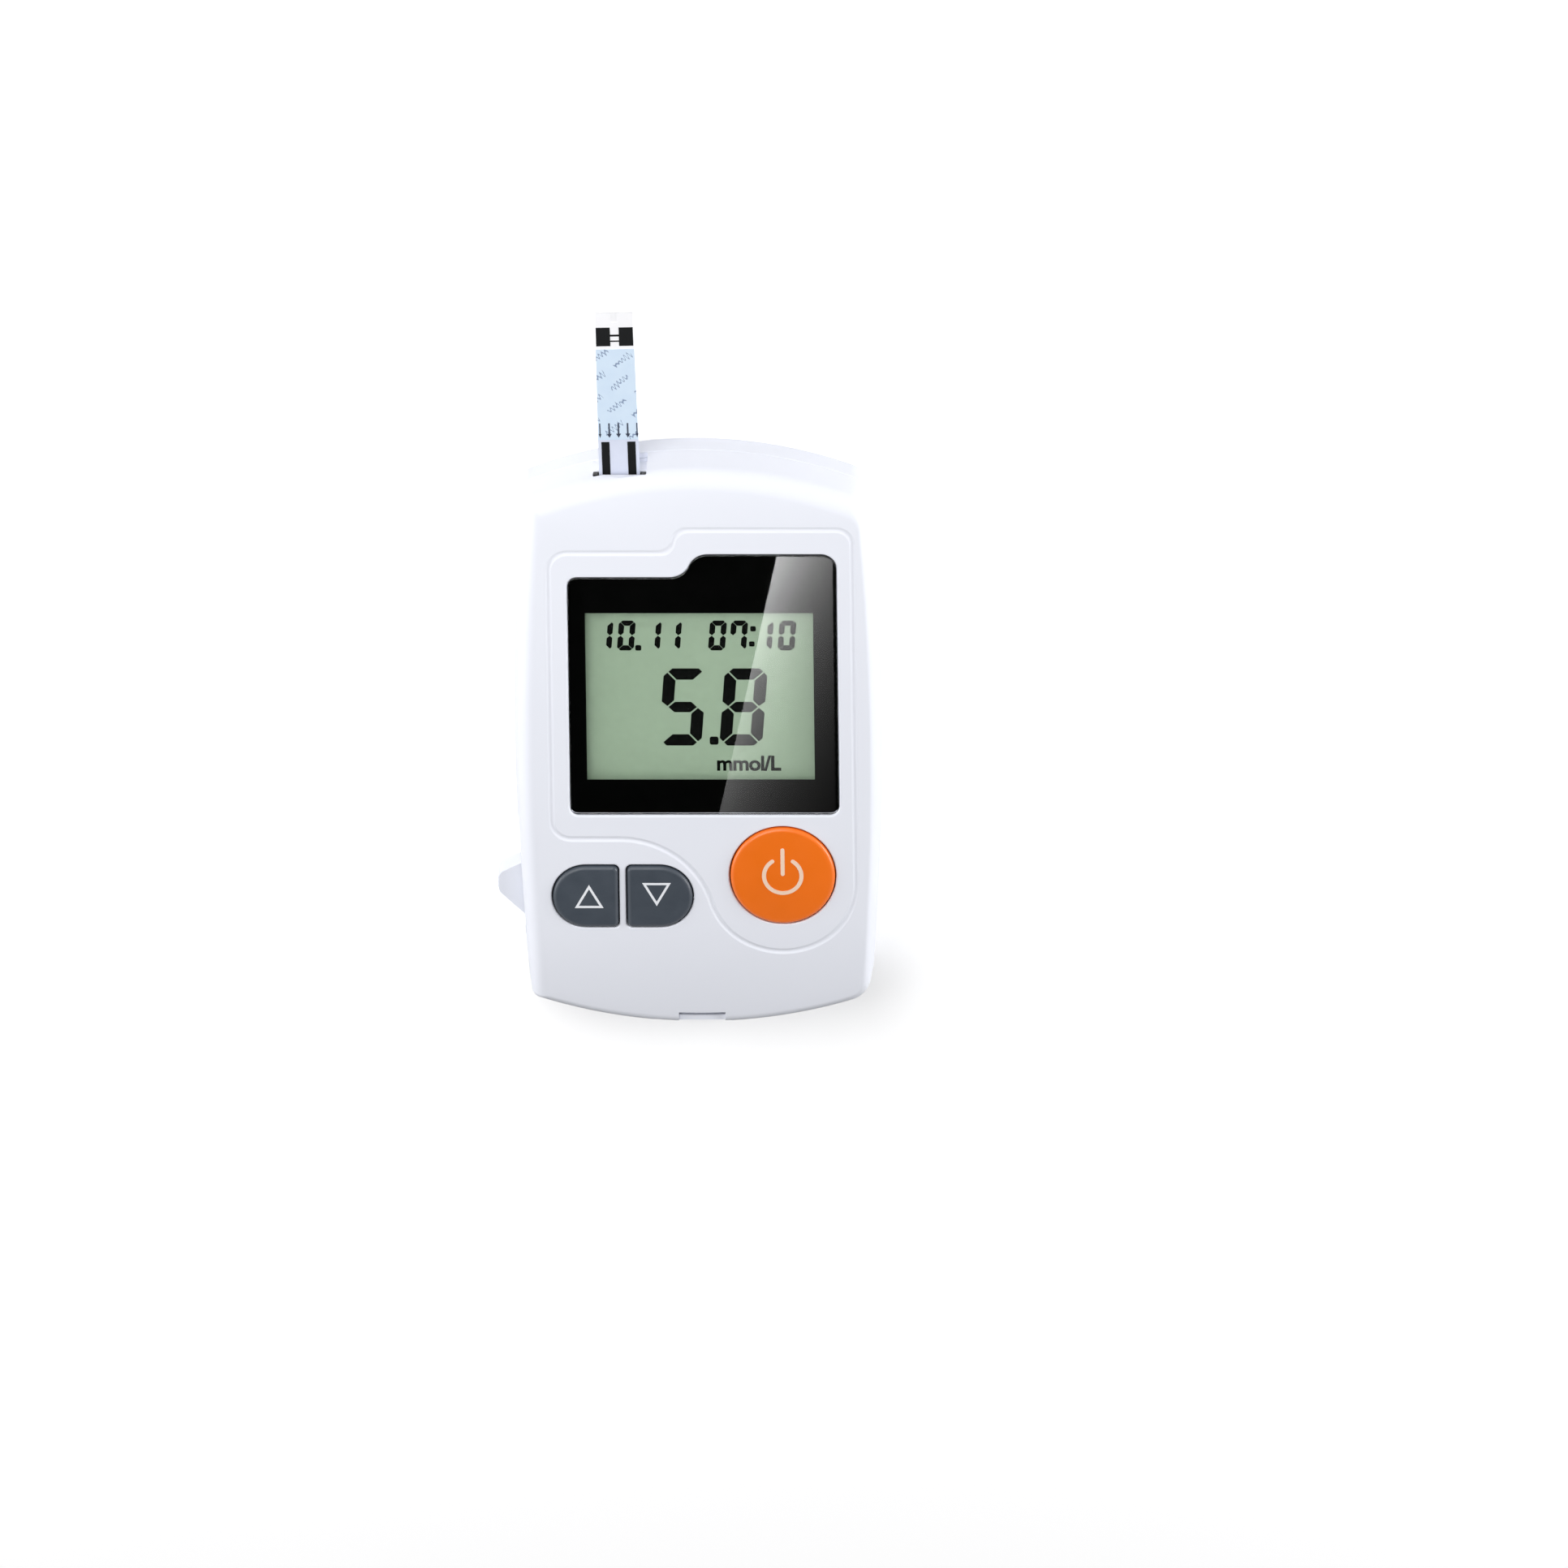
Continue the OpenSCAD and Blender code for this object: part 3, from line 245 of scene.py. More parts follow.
def key_outline(g=0.0, mirrored=False):
    """An arrow button with its round end on the left, or on the right if mirrored, in place."""
    r, inner, c = KEY_H / 2 + g, KEY_W + g, min(KEY_CORNER, KEY_CORNER + g)
    points = (
        arc((KEY_H / 2, 0), r, 90, 270, 40)
        + arc((inner - c, c - r), c, 270, 360, 8)
        + arc((inner - c, r - c), c, 0, 90, 8)
    )
    if mirrored:
        return [(DOWN_RIGHT - x, KEY_Y + y) for x, y in reversed(points)]
    return [(UP_LEFT + x, KEY_Y + y) for x, y in points]


def circle(c, r, steps=128):
    return arc(c, r, 0, 360, steps)[:-1]


def power_outline(g=0.0):
    return circle(POWER_AT, POWER_R + g)


def fall(y):
    """Drop of the front face below its flat middle."""
    if y < FLAT_BOTTOM_Y:
        return (FLAT_BOTTOM_Y - y) ** 2 / (2 * FALL_BOTTOM_R)
    if y > FLAT_TOP_Y:
        return (y - FLAT_TOP_Y) ** 2 / (2 * FALL_TOP_R)
    return 0.0


def at_height(points, z):
    return [(x, y, z) for x, y in points]


# ---- Mesh building ----


def new_object(name, vertices, faces):
    """A mesh object from vertices in millimetres."""
    mesh = bpy.data.meshes.new(name)
    mesh.from_pydata([[c * MM for c in v] for v in vertices], [], faces)
    mesh.validate()
    bm = bmesh.new()
    bm.from_mesh(mesh)
    bmesh.ops.recalc_face_normals(bm, faces=bm.faces)
    bm.to_mesh(mesh)
    bm.free()
    obj = bpy.data.objects.new(name, mesh)
    bpy.context.scene.collection.objects.link(obj)
    return obj


def band(a, b, n):
    """Faces between two rings of n vertices that start at numbers a and b."""
    return [(a + i, a + (i + 1) % n, b + (i + 1) % n, b + i) for i in range(n)]


def loft(name, rings, closed=False):
    """A skin through rings of equal length. It has two end caps, or none if closed on itself."""
    n = len(rings[0])
    count = len(rings)
    vertices = [p for ring in rings for p in ring]
    faces = []
    for k in range(count if closed else count - 1):
        faces += band(k * n, (k + 1) % count * n, n)
    if not closed:
        faces.append(tuple(range(n)))
        faces.append(tuple(range((count - 1) * n, count * n)))
    return new_object(name, vertices, faces)


def prism(name, points, low, high):
    return loft(name, [at_height(points, low), at_height(points, high)])


def block(name, low, high):
    corners = [(low[0], low[1]), (high[0], low[1]), (high[0], high[1]), (low[0], high[1])]
    return prism(name, corners, low[2], high[2])


def shaped(obj):
    """Turns an object's modifiers into its mesh."""
    bpy.context.view_layer.update()
    seen = obj.evaluated_get(bpy.context.evaluated_depsgraph_get())
    obj.data = bpy.data.meshes.new_from_object(seen)
    obj.modifiers.clear()
    return obj


def combine(obj, other, operation="DIFFERENCE"):
    boolean = obj.modifiers.new("Combine", "BOOLEAN")
    boolean.operation = operation
    boolean.solver = "MANIFOLD"
    boolean.object = other
    shaped(obj)
    bpy.data.objects.remove(other)
    return obj


def copy_of(node, name):
    """A new object with a welded copy of a CAD node's mesh."""
    obj = bpy.data.objects.new(name, frame["nodes"][node].data.copy())
    obj.data.materials.clear()
    bpy.context.scene.collection.objects.link(obj)
    bm = bmesh.new()
    bm.from_mesh(obj.data)
    bmesh.ops.remove_doubles(bm, verts=bm.verts, dist=1e-7)
    bm.to_mesh(obj.data)
    bm.free()
    if "custom_normal" in obj.data.attributes:
        obj.data.attributes.remove(obj.data.attributes["custom_normal"])
    return obj


def smooth(obj, angle=34):
    """Smooth shading that keeps real edges crisp."""
    bm = bmesh.new()
    bm.from_mesh(obj.data)
    limit = math.radians(angle)
    for face in bm.faces:
        face.smooth = True
    for edge in bm.edges:
        edge.smooth = len(edge.link_faces) == 2 and edge.calc_face_angle(0) < limit
    bm.to_mesh(obj.data)
    bm.free()
    weighted = obj.modifiers.new("Weighted", "WEIGHTED_NORMAL")
    weighted.mode = "FACE_AREA"
    weighted.keep_sharp = True
    return obj


def placed(obj, body, node):
    """Puts a skin on its body in place of a CAD node."""
    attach(obj, body)
    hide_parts(node)


# ---- Materials ----


class Material:
    """A Principled material with helpers for the nodes behind its sockets."""

    def __init__(self, name):
        self.made = bpy.data.materials.new(name)
        self.made.use_nodes = True
        self.tree = self.made.node_tree
        self.shader = self.tree.nodes["Principled BSDF"]
        self.place = self.node("ShaderNodeTexCoord").outputs["Object"]

    def node(self, kind, **settings):
        n = self.tree.nodes.new(kind)
        for key, value in settings.items():
            setattr(n, key, value)
        return n

    def link(self, source, target):
        self.tree.links.new(source, target)

    def fixed(self, **values):
        for key, value in values.items():
            self.shader.inputs[key.replace("_", " ")].default_value = value

    def noise(self, scale, detail=3.0, roughness=0.5, stretch=None):
        """Noise over the surface; scale is in features per metre."""
        n = self.node("ShaderNodeTexNoise")
        n.inputs["Scale"].default_value = scale
        n.inputs["Detail"].default_value = detail
        n.inputs["Roughness"].default_value = roughness
        place = self.place
        if stretch:
            mapping = self.node("ShaderNodeMapping")
            mapping.inputs["Scale"].default_value = stretch
            self.link(place, mapping.inputs["Vector"])
            place = mapping.outputs["Vector"]
        self.link(place, n.inputs["Vector"])
        return n.outputs["Fac"]

    def ranged(self, value, low, high, start=0.3, end=0.7):
        m = self.node("ShaderNodeMapRange")
        for key, number in (("From Min", start), ("From Max", end), ("To Min", low), ("To Max", high)):
            m.inputs[key].default_value = number
        self.link(value, m.inputs["Value"])
        return m.outputs["Result"]

    def math(self, operation, *values):
        """A Math node; each value is a socket or a number."""
        n = self.node("ShaderNodeMath", operation=operation)
        for socket, value in zip(n.inputs, values):
            if isinstance(value, (int, float)):
                socket.default_value = value
            else:
                self.link(value, socket)
        return n.outputs[0]

    def mixed(self, share, a, b):
        """Colour a where share is 0 and b where it is 1; either may be a socket."""
        m = self.node("ShaderNodeMix", data_type="RGBA")
        self.link(share, m.inputs["Factor"])
        for socket, colour in ((m.inputs[6], a), (m.inputs[7], b)):
            if isinstance(colour, tuple):
                socket.default_value = (*colour, 1)
            else:
                self.link(colour, socket)
        return m.outputs[2]

    def toned(self, dark, light, scale, detail):
        """A colour that wanders between two tones."""
        return self.mixed(self.ranged(self.noise(scale, detail), 0, 1), dark, light)

    def colour(self, source):
        self.link(source, self.shader.inputs["Base Color"])

    def gloss(self, low, high, scale, detail=3.0, stretch=None):
        """Roughness that wanders between two values."""
        value = self.ranged(self.noise(scale, detail, stretch=stretch), low, high)
        self.link(value, self.shader.inputs["Roughness"])

    def bump(self, height, depth):
        """Relief of the surface; depth is in millimetres."""
        b = self.node("ShaderNodeBump")
        b.inputs["Strength"].default_value = 1.0
        b.inputs["Distance"].default_value = depth * MM
        self.link(height, b.inputs["Height"])
        self.link(b.outputs["Normal"], self.shader.inputs["Normal"])


def plastic(name, colour, roughness, grain=9000, depth=0.004, spread=0.02, **fixed):
    """Moulded plastic: faint tone changes, uneven gloss and a fine sparked texture."""
    m = Material(name)
    dark = tuple(c * (1 - spread) for c in colour)
    light = tuple(min(c * (1 + spread), 1) for c in colour)
    m.colour(m.toned(dark, light, 90, 4))
    m.gloss(roughness * 0.9, roughness * 1.12, 420)
    m.bump(m.noise(grain, 2), depth)
    m.fixed(**fixed)
    return m.made


def metal(name, colour, roughness):
    """Rolled and plated metal with fine lines along one way and dull spots."""
    m = Material(name)
    lines = (1, 12, 1)
    m.colour(m.toned(tuple(c * 0.86 for c in colour), colour, 160, 4))
    m.gloss(roughness * 0.8, roughness * 1.3, 2500, stretch=lines)
    m.bump(m.noise(4000, 2, stretch=lines), 0.002)
    m.fixed(Metallic=1.0)
    return m.made


def housing_material():
    """Cool white plastic of both shells, the battery door and the ejector."""
    m = Material("Housing.Plastic")
    m.colour(m.toned((0.848, 0.868, 0.938), (0.860, 0.880, 0.950), 55, 4))
    m.gloss(0.44, 0.52, 300, 4)
    m.bump(m.noise(5200, 2), 0.0006)
    m.fixed(IOR=1.5, Specular_IOR_Level=0.22)
    return m.made


def window_material():
    """Clear plate with faint scuffs."""
    m = Material("Window")
    m.fixed(Base_Color=(1, 1, 1, 1), Roughness=0.015, IOR=1.46, Transmission_Weight=1.0)
    scuffs = m.noise(600, 5, 0.6, stretch=(1, 6, 1))
    m.bump(m.ranged(scuffs, 0, 1, 0.55, 0.9), 0.00008)
    return m.made


def lcd_material():
    """Grey-green polarizer film over the reflector, with its faint mottle and row lines."""
    m = Material("LCD.Film")
    field = m.toned((0.170, 0.230, 0.163), (0.178, 0.242, 0.171), 900, 4)
    rows = m.node("ShaderNodeTexWave", wave_type="BANDS", bands_direction="Y")
    rows.inputs["Scale"].default_value = 900
    m.link(m.place, rows.inputs["Vector"])
    lines = m.ranged(rows.outputs["Fac"], 0, 0.05, 0.2, 0.8)
    m.colour(m.mixed(lines, field, (0.150, 0.203, 0.144)))
    m.gloss(0.20, 0.26, 700, 2)
    m.bump(m.noise(12000, 2), 0.0008)
    m.fixed(Specular_IOR_Level=0.75)
    return m.made


def strip_base_material():
    """Strip base whose body carries painted shade, darker and bluer than its plain white tip past the
    sampling end.
    """
    m = Material("Strip.Base")
    split = m.node("ShaderNodeSeparateXYZ")
    m.link(m.place, split.inputs[0])
    tip = m.ranged(split.outputs["Y"], 0, 1, 0.0632, 0.0638)
    # Painted shade: the body is darker and bluer than the white tip, matched to the shaded strip beside the
    # port.
    body = m.toned((0.655, 0.695, 0.825), (0.685, 0.725, 0.855), 300, 3)
    m.colour(m.mixed(tip, body, (0.90, 0.90, 0.92)))
    m.gloss(0.31, 0.39, 420)
    m.bump(m.noise(6000, 2), 0.002)
    return m.made


def film_material():
    """Light-blue cover film with faded, slanted scribbles in place of print."""
    m = Material("Strip.Film")
    blue = m.toned((0.615, 0.740, 0.885), (0.655, 0.775, 0.905), 400, 3)
    turned = m.node("ShaderNodeMapping")
    turned.inputs["Rotation"].default_value = (0, 0, math.radians(-38))
    turned.inputs["Scale"].default_value = (1000, 1000, 1000)
    m.link(m.place, turned.inputs["Vector"])
    split = m.node("ShaderNodeSeparateXYZ")
    m.link(turned.outputs["Vector"], split.inputs[0])
    along, across = split.outputs["X"], split.outputs["Y"]
    row = m.math("FLOOR", m.math("DIVIDE", m.math("ADD", across, 1.25), 2.5))
    level = m.math("WRAP", across, 1.25, -1.25)
    place = m.math("WRAP", m.math("MULTIPLY_ADD", row, 2.3, along), 2.4, -2.4)
    size = m.ranged(m.noise(900, 1), 0.08, 0.5, 0.35, 0.65)
    wave = m.math("MULTIPLY", m.math("SINE", m.math("MULTIPLY", along, 11.5)), size)
    gap = m.math("ABSOLUTE", m.math("SUBTRACT", level, wave))
    stroke = m.ranged(gap, 1, 0, 0.08, 0.2)
    word = m.ranged(m.math("ABSOLUTE", place), 1, 0, 1.5, 1.6)
    faded = m.math("MULTIPLY", m.math("MULTIPLY", stroke, word), 0.85)
    m.colour(m.mixed(faded, blue, (0.16, 0.22, 0.36)))
    m.gloss(0.28, 0.36, 900, 2)
    m.bump(m.noise(9000, 2), 0.001)
    return m.made


def board_material():
    """Green solder mask over copper tracks that show as lighter lines."""
    m = Material("Board")
    cells = m.node("ShaderNodeTexVoronoi", feature="DISTANCE_TO_EDGE", distance="CHEBYCHEV")
    cells.inputs["Scale"].default_value = 420
    m.link(m.place, cells.inputs["Vector"])
    tracks = m.ranged(cells.outputs["Distance"], 1, 0, 0.02, 0.07)
    m.colour(m.mixed(tracks, (0.020, 0.130, 0.060), (0.045, 0.230, 0.105)))
    m.gloss(0.3, 0.42, 800, 2)
    m.bump(tracks, 0.02)
    return m.made


def dress(material, *names):
    """Gives CAD nodes or skins a material."""
    for name in names:
        obj = frame["nodes"].get(name) or bpy.data.objects[name]
        obj.data.materials.clear()
        obj.data.materials.append(material)


# ---- Case ----


def face_rings(steps=22, smallest=0.04):
    """Rings that carry the front face from its rounded border to the middle."""
    border = outline([d + r for d, r in zip(DRAFT_IN, ROUND_IN)])
    shares = [1 - (1 - smallest) * (i / steps) for i in range(1, steps + 1)]
    return [[(x * s, y * s, CASE_T - fall(y * s)) for x, y in border] for s in shares]


def outer_rings():
    """Rings of the front shell's outside: seam, drafted wall, rounded edge and face."""
    rings = [at_height(outline([SEAM] * 4), PART_Z), at_height(outline([0.0] * 4), PART_Z + SEAM)]
    rise = CASE_T - ROUND_H - PART_Z
    for share in (0.25, 0.5, 0.75):
        rings.append(at_height(outline([d * share for d in DRAFT_IN]), PART_Z + rise * share))
    for across, up in quarter_round(1, 5):
        inset = [d + r * across for d, r in zip(DRAFT_IN, ROUND_IN)]
        level = CASE_T - ROUND_H + ROUND_H * up
        rings.append([(x, y, level - fall(y) * up * up) for x, y in outline(inset)])
    return rings + face_rings()


def inner_rings(levels):
    """Rings from pairs of a height and the outline's four insets there."""
    return [at_height(outline(inset, 6, (12, 18, 12, 18)), z) for z, inset in levels]


def hollow_rings():
    """The space that the shell's wall and roof leave free."""
    levels = [
        (PART_Z - 1, [WALL] * 4),
        (PART_Z, [WALL] * 4),
        (ROOF_Z - 2.2, [WALL + 0.25] * 4),
        (ROOF_Z - 0.7, [2.3, 3.2, 2.9, 2.3]),
        (ROOF_Z, [2.9, 4.2, 3.7, 2.9]),
    ]
    return inner_rings(levels)


def rib_rings():
    """The space inside the walls, where the CAD shell's ribs and bosses are taken from."""
    levels = [
        (PART_Z - 3, [0.86] * 4),
        (PART_Z, [0.86] * 4),
        (PART_Z + 0.01, [WALL - 0.3] * 4),
        (ROOF_Z - 2.2, [WALL] * 4),
        (ROOF_Z - 0.7, [2.0, 2.9, 2.6, 2.0]),
        (ROOF_Z + 0.15, [2.6, 3.8, 3.4, 2.6]),
    ]
    return inner_rings(levels)


def rimmed_cutter(name, shape, low, clear):
    """A cutter with the given outline that leaves a rounded rim at the front face."""
    rings = [at_height(shape(clear), low)]
    rings += [at_height(shape(clear + out), CASE_T - RIM + up) for out, up in quarter_round(RIM)]
    rings.append(at_height(shape(clear + RIM), CASE_T + 1))
    return loft(name, rings)


def groove_cutter():
    """A trough with soft shoulders along the panel's line, at the height of the face."""
    half = [(0.50, 0.5), (0.50, 0.0), (0.42, -0.012), (0.30, -0.06), (0.16, -0.125), (0.0, -0.15)]
    section = half + [(-g, z) for g, z in reversed(half[:-1])]
    rings = [[(x, y, CASE_T - fall(y) + dz) for x, y in panel_outline(g)] for g, dz in section]
    return loft("Groove.Cutter", rings, closed=True)


def port_cutter():
    """The slot in the end wall, with rounded corners."""
    section = round_box((0, 0), PORT_W, PORT_H, 0.35, 5)
    rings = [[(PORT_X + x, y, PORT_Z + PORT_H / 2 + z) for x, z in section] for y in (38, 50)]
    return loft("Port.Cutter", rings)


def latch_cutters():
    """Room for the battery door's tongue in the bottom edge, and the fingernail slit behind its tip."""
    left, right = LATCH_X - LATCH_HALF, LATCH_X + LATCH_HALF
    yield block("Latch.Neck", (left, -CASE_LEN, PART_Z - 2), (right, LATCH_Y, LATCH_NECK_TOP))
    tongue = (left, right, PART_Z - 2, LATCH_TOP)
    slit = (NAIL_SLIT_LEFT, NAIL_SLIT_RIGHT, NAIL_SLIT_LOW, CASE_T + 1)
    for x0, x1, low, high in (tongue, slit):
        cut = block("Latch.Edge", (x0, -CASE_LEN, low), (x1, LATCH_Y, high))
        yield combine(cut, prism("Latch.Core", outline([2.1] * 4), 0, CASE_T + 2))


def set_outer_normals(obj, reference):
    """Gives what is left of the outer surface the smooth normals of the whole, uncut one."""
    whole = reference.data
    tree = BVHTree.FromPolygons([v.co for v in whole.vertices], [list(p.vertices) for p in whole.polygons])
    normals = [Vector(n.vector) for n in obj.data.corner_normals]
    for face in obj.data.polygons:
        if face.center.z < (PART_Z + SEAM) * MM:
            continue
        for i in face.loop_indices:
            point = obj.data.vertices[obj.data.loops[i].vertex_index].co
            _, _, index, away = tree.find_nearest(point)
            near = whole.polygons[index]
            if away > 3e-6 or near.normal.dot(face.normal) < 0.8:
                continue
            corners = [whole.vertices[k] for k in near.vertices]
            shares = poly_3d_calc([c.co for c in corners], point)
            blend = Vector((0, 0, 0))
            for share, corner in zip(shares, corners):
                blend += corner.normal * share
            normals[i] = blend.normalized()
    obj.data.normals_split_custom_set(normals)
    bpy.data.objects.remove(reference)


def front_shell():
    """The front shell, cut from a smooth solid, with the CAD shell's ribs and bosses inside."""
    body = loft("front_shell_skin", outer_rings())
    combine(body, loft("Hollow", hollow_rings()))
    combine(body, rimmed_cutter("Window.Cutter", window_outline, POCKET_Z, 0.06))
    (x0, y0), (x1, y1) = VIEW
    combine(body, block("View", (x0 - LEDGE, y0 - LEDGE, ROOF_Z - 1), (x1 + LEDGE, y1 + LEDGE, CASE_T)))
    combine(body, rimmed_cutter("Power.Cutter", power_outline, ROOF_Z - 1, KEY_CLEAR))
    for mirrored in (False, True):
        shape = partial(key_outline, mirrored=mirrored)
        combine(body, rimmed_cutter("Key.Cutter", shape, ROOF_Z - 1, KEY_CLEAR))
    combine(body, groove_cutter())
    combine(body, port_cutter())
    left, right = PORT_X - GUIDE_HALF, PORT_X + GUIDE_HALF
    combine(body, block("Guide", (left, GUIDE_Y, PART_Z - 1), (right, CASE_LEN, GUIDE_TOP)))
    combine(body, block("Slot", *EJECTOR_SLOT))
    for cutter in latch_cutters():
        combine(body, cutter)
    inside = combine(copy_of("front_shell", "Inside"), loft("Zone", rib_rings()), "INTERSECT")
    combine(body, inside, "UNION")
    shaped(smooth(body))
    below = at_height(outline([0.0] * 4), PART_Z - 1)
    set_outer_normals(body, smooth(loft("Whole", [below] + outer_rings()[1:]), 180))
    placed(body, "case", "front_shell")


def smoothed_copy(node, body, angle=34):
    """A skin in a CAD node's own shape, with smooth shading."""
    placed(smooth(copy_of(node, node + "_skin"), angle), body, node)


def window_plate():
    """The display window with a rounded rim and flat faces."""
    rings = [at_height(window_outline(-WINDOW_PLAY), WINDOW_LOW_Z)]
    for across, up in quarter_round(WINDOW_ROUND):
        rings.append(at_height(window_outline(-WINDOW_PLAY - across), WINDOW_TOP_Z - WINDOW_ROUND + up))
    plate = smooth(loft("window_plate", rings))
    for face in plate.data.polygons:
        face.use_smooth = abs(face.normal.z) < 0.9999
    placed(plate, "case", "display_window")
    plate.visible_shadow = False


# ---- Buttons ----


def revolve(name, at, profile, steps=160):
    """A solid turned about an upright axis, from (radius, height) points that start and end on it."""
    rings = [at_height(circle(at, r, steps), z) for r, z in profile[1:-1]]
    vertices = [p for ring in rings for p in ring]
    faces = []
    for k in range(len(rings) - 1):
        faces += band(k * steps, (k + 1) * steps, steps)
    top = len(vertices)
    bottom, last = top + 1, top - steps
    vertices += [(*at, profile[0][1]), (*at, profile[-1][1])]
    faces += [(top, i, (i + 1) % steps) for i in range(steps)]
    faces += [(bottom, last + (i + 1) % steps, last + i) for i in range(steps)]
    return new_object(name, vertices, faces)


def dome_drop(r):
    """How far the power button's shallow dome lies below its top at a radius."""
    ball = (POWER_R**2 + POWER_CROWN**2) / (2 * POWER_CROWN)
    return ball - math.sqrt(ball * ball - r * r)


def power_button():
    """The round button: a dome with a rolled edge, a flange, a hollow underside and a stem."""
    low, high = box_mm("power_button")
    top, flange_r = high[2] - SIGN_T, (high[0] - low[0]) / 2
    roof = top - POWER_CROWN - POWER_ROOF
    inner, skirt = POWER_R - POWER_ROLL, POWER_R - POWER_SKIRT
    radii = [inner * i / 16 for i in range(17)]
    profile = [(r, top - dome_drop(r)) for r in radii]
    edge = (inner, profile[-1][1] - POWER_ROLL)
    profile += [on_circle(edge, POWER_ROLL, a) for a in range(75, -1, -15)]
    profile += [
        (POWER_R, FLANGE_LOW + FLANGE_T),
        (flange_r, FLANGE_LOW + FLANGE_T),
        (flange_r, FLANGE_LOW),
        (skirt, FLANGE_LOW),
        (skirt, roof),
        (POWER_STEM_R, roof),
        (POWER_STEM_R, low[2]),
        (0, low[2]),
    ]
    cap = smooth(revolve("power_button_cap", POWER_AT, profile), 40)
    placed(cap, "power_key", "power_button")


def arrow_button(node, body, mirrored):
    """An arrow button with a rolled edge, a flange and a stem."""
    shape = partial(key_outline, mirrored=mirrored)
    rings = [at_height(shape(0), FLANGE_LOW + 0.01), at_height(shape(0), KEY_TOP - KEY_ROLL)]
    for across, up in quarter_round(KEY_ROLL, first=15):
        rings.append(at_height(shape(-across), KEY_TOP - KEY_ROLL + up))
    cap = loft(node + "_cap", rings)
    combine(cap, prism("Flange", shape(FLANGE_OUT), FLANGE_LOW, FLANGE_LOW + FLANGE_T), "UNION")
    stem_at = (DOWN_RIGHT - KEY_STEM_X if mirrored else UP_LEFT + KEY_STEM_X, KEY_Y)
    stem = prism("Stem", circle(stem_at, KEY_STEM_R, 32), box_mm(node)[0][2], FLANGE_LOW + 0.1)
    combine(cap, stem, "UNION")
    placed(smooth(cap, 40), body, node)


# ---- Printed signs ----


def plates(name, shapes, low, thick, body):
    """Thin printed shapes in one object, each a polygon or an (outer, inner) pair of loops.

    low is the height they stand at, as a number or as a function of x and y.
    """
    surface = low if callable(low) else lambda x, y: low
    vertices, faces = [], []
    for shape in shapes:
        loops = shape if isinstance(shape, tuple) else (shape,)
        n = len(loops[0])
        start = len(vertices)
        for lift in (0, thick):
            for loop in loops:
                vertices += [(x, y, surface(x, y) + lift) for x, y in loop]
        if len(loops) == 1:
            faces.append([start + i for i in reversed(range(n))])
            faces.append([start + n + i for i in range(n)])
            faces += band(start, start + n, n)
            continue
        for i in range(n):
            j = (i + 1) % n
            a, b, c, d = start, start + n, start + 2 * n, start + 3 * n
            faces += [[a + i, b + i, b + j, a + j], [c + i, c + j, d + j, d + i]]
            faces += [[a + i, a + j, c + j, c + i], [b + j, b + i, d + i, d + j]]
    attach(new_object(name, vertices, faces), body)


def ring_gap(c, outer, inner, start, end, steps=40):
    """A ring with a gap and round ends, as one polygon."""
    mid, r = (outer + inner) / 2, (outer - inner) / 2
    tip = [on_circle(c, mid, a) for a in (start, end)]
    return (
        arc(c, outer, start, end, steps)
        + arc(tip[1], r, end, end + 180, 6)[1:-1]
        + arc(c, inner, end, start, steps)
        + arc(tip[0], r, start + 180, start + 360, 6)[1:-1]
    )


def bar(x, low, high, half):
    """An upright stroke with round ends."""
    return arc((x, high - half), half, 0, 180, 6) + arc((x, low + half), half, 180, 360, 6)


def power_sign():
    """The power sign; its corners lie on the button's dome, half of their height sunk in it."""
    x, y = POWER_AT
    top = box_mm("power_button")[1][2] - 2 * SIGN_T
    shapes = [ring_gap((x, y + 0.2), 2.95, 2.37, 123, 417), bar(x, y + 0.2, y + 4.45, 0.29)]

    def surface(px, py):
        return top - dome_drop(math.hypot(px - x, py - y))

    plates("power_sign", shapes, surface, 2 * SIGN_T, "power_key")


def triangle(c, way, width=4.1, height=3.6, stroke=0.34):
    """An outlined triangle that points up if way is 1 and down if it is -1."""
    x, y = way * width / 2, way * height / 2
    outer = [(c[0] - x, c[1] - y), (c[0] + x, c[1] - y), (c[0], c[1] + y)]
    slope = math.hypot(width / 2, height)
    top_in = way * stroke * slope / (width / 2)
    side_in = way * (stroke * slope + stroke * width / 2) / height
    base = outer[0][1] + way * stroke
    inner = [(outer[0][0] + side_in, base), (outer[1][0] - side_in, base), (c[0], outer[2][1] - top_in)]
    return (outer, inner)


def arrow_signs():
    low, thick = KEY_TOP - 0.02, 0.04
    plates("up_sign", [triangle((-15.55, KEY_Y + 0.15), 1)], low, thick, "up_key")
    plates("down_sign", [triangle((-5.95, KEY_Y + 0.45), -1)], low, thick, "down_key")


# ---- Display content ----

SEGMENTS = {
    "0": "abcdef",
    "1": "bc",
    "5": "acdfg",
    "7": "abcf",
    "8": "abcdefg",
}
SLANT = 0.08
SMALL_DIGIT = dict(y0=14.6, w=2.4, h=4.62, t=0.8, gap=0.05)
BIG_DIGIT = dict(y0=-0.14, w=6.08, h=11.95, t=1.74, gap=0.22)
# Each character of the upper row with the place of its right edge, and of the value with its left edge
DATE_AND_TIME = tuple(zip("10110710", (-11.76, -8.59, -4.91, -2.04, 4.33, 7.33, 10.95, 14.18)))
VALUE = (("5", -5.48), ("8", 3.14))
UNIT_AT, UNIT_W, UNIT_SIZE = (2.7, -3.96), 9.1, 3.15


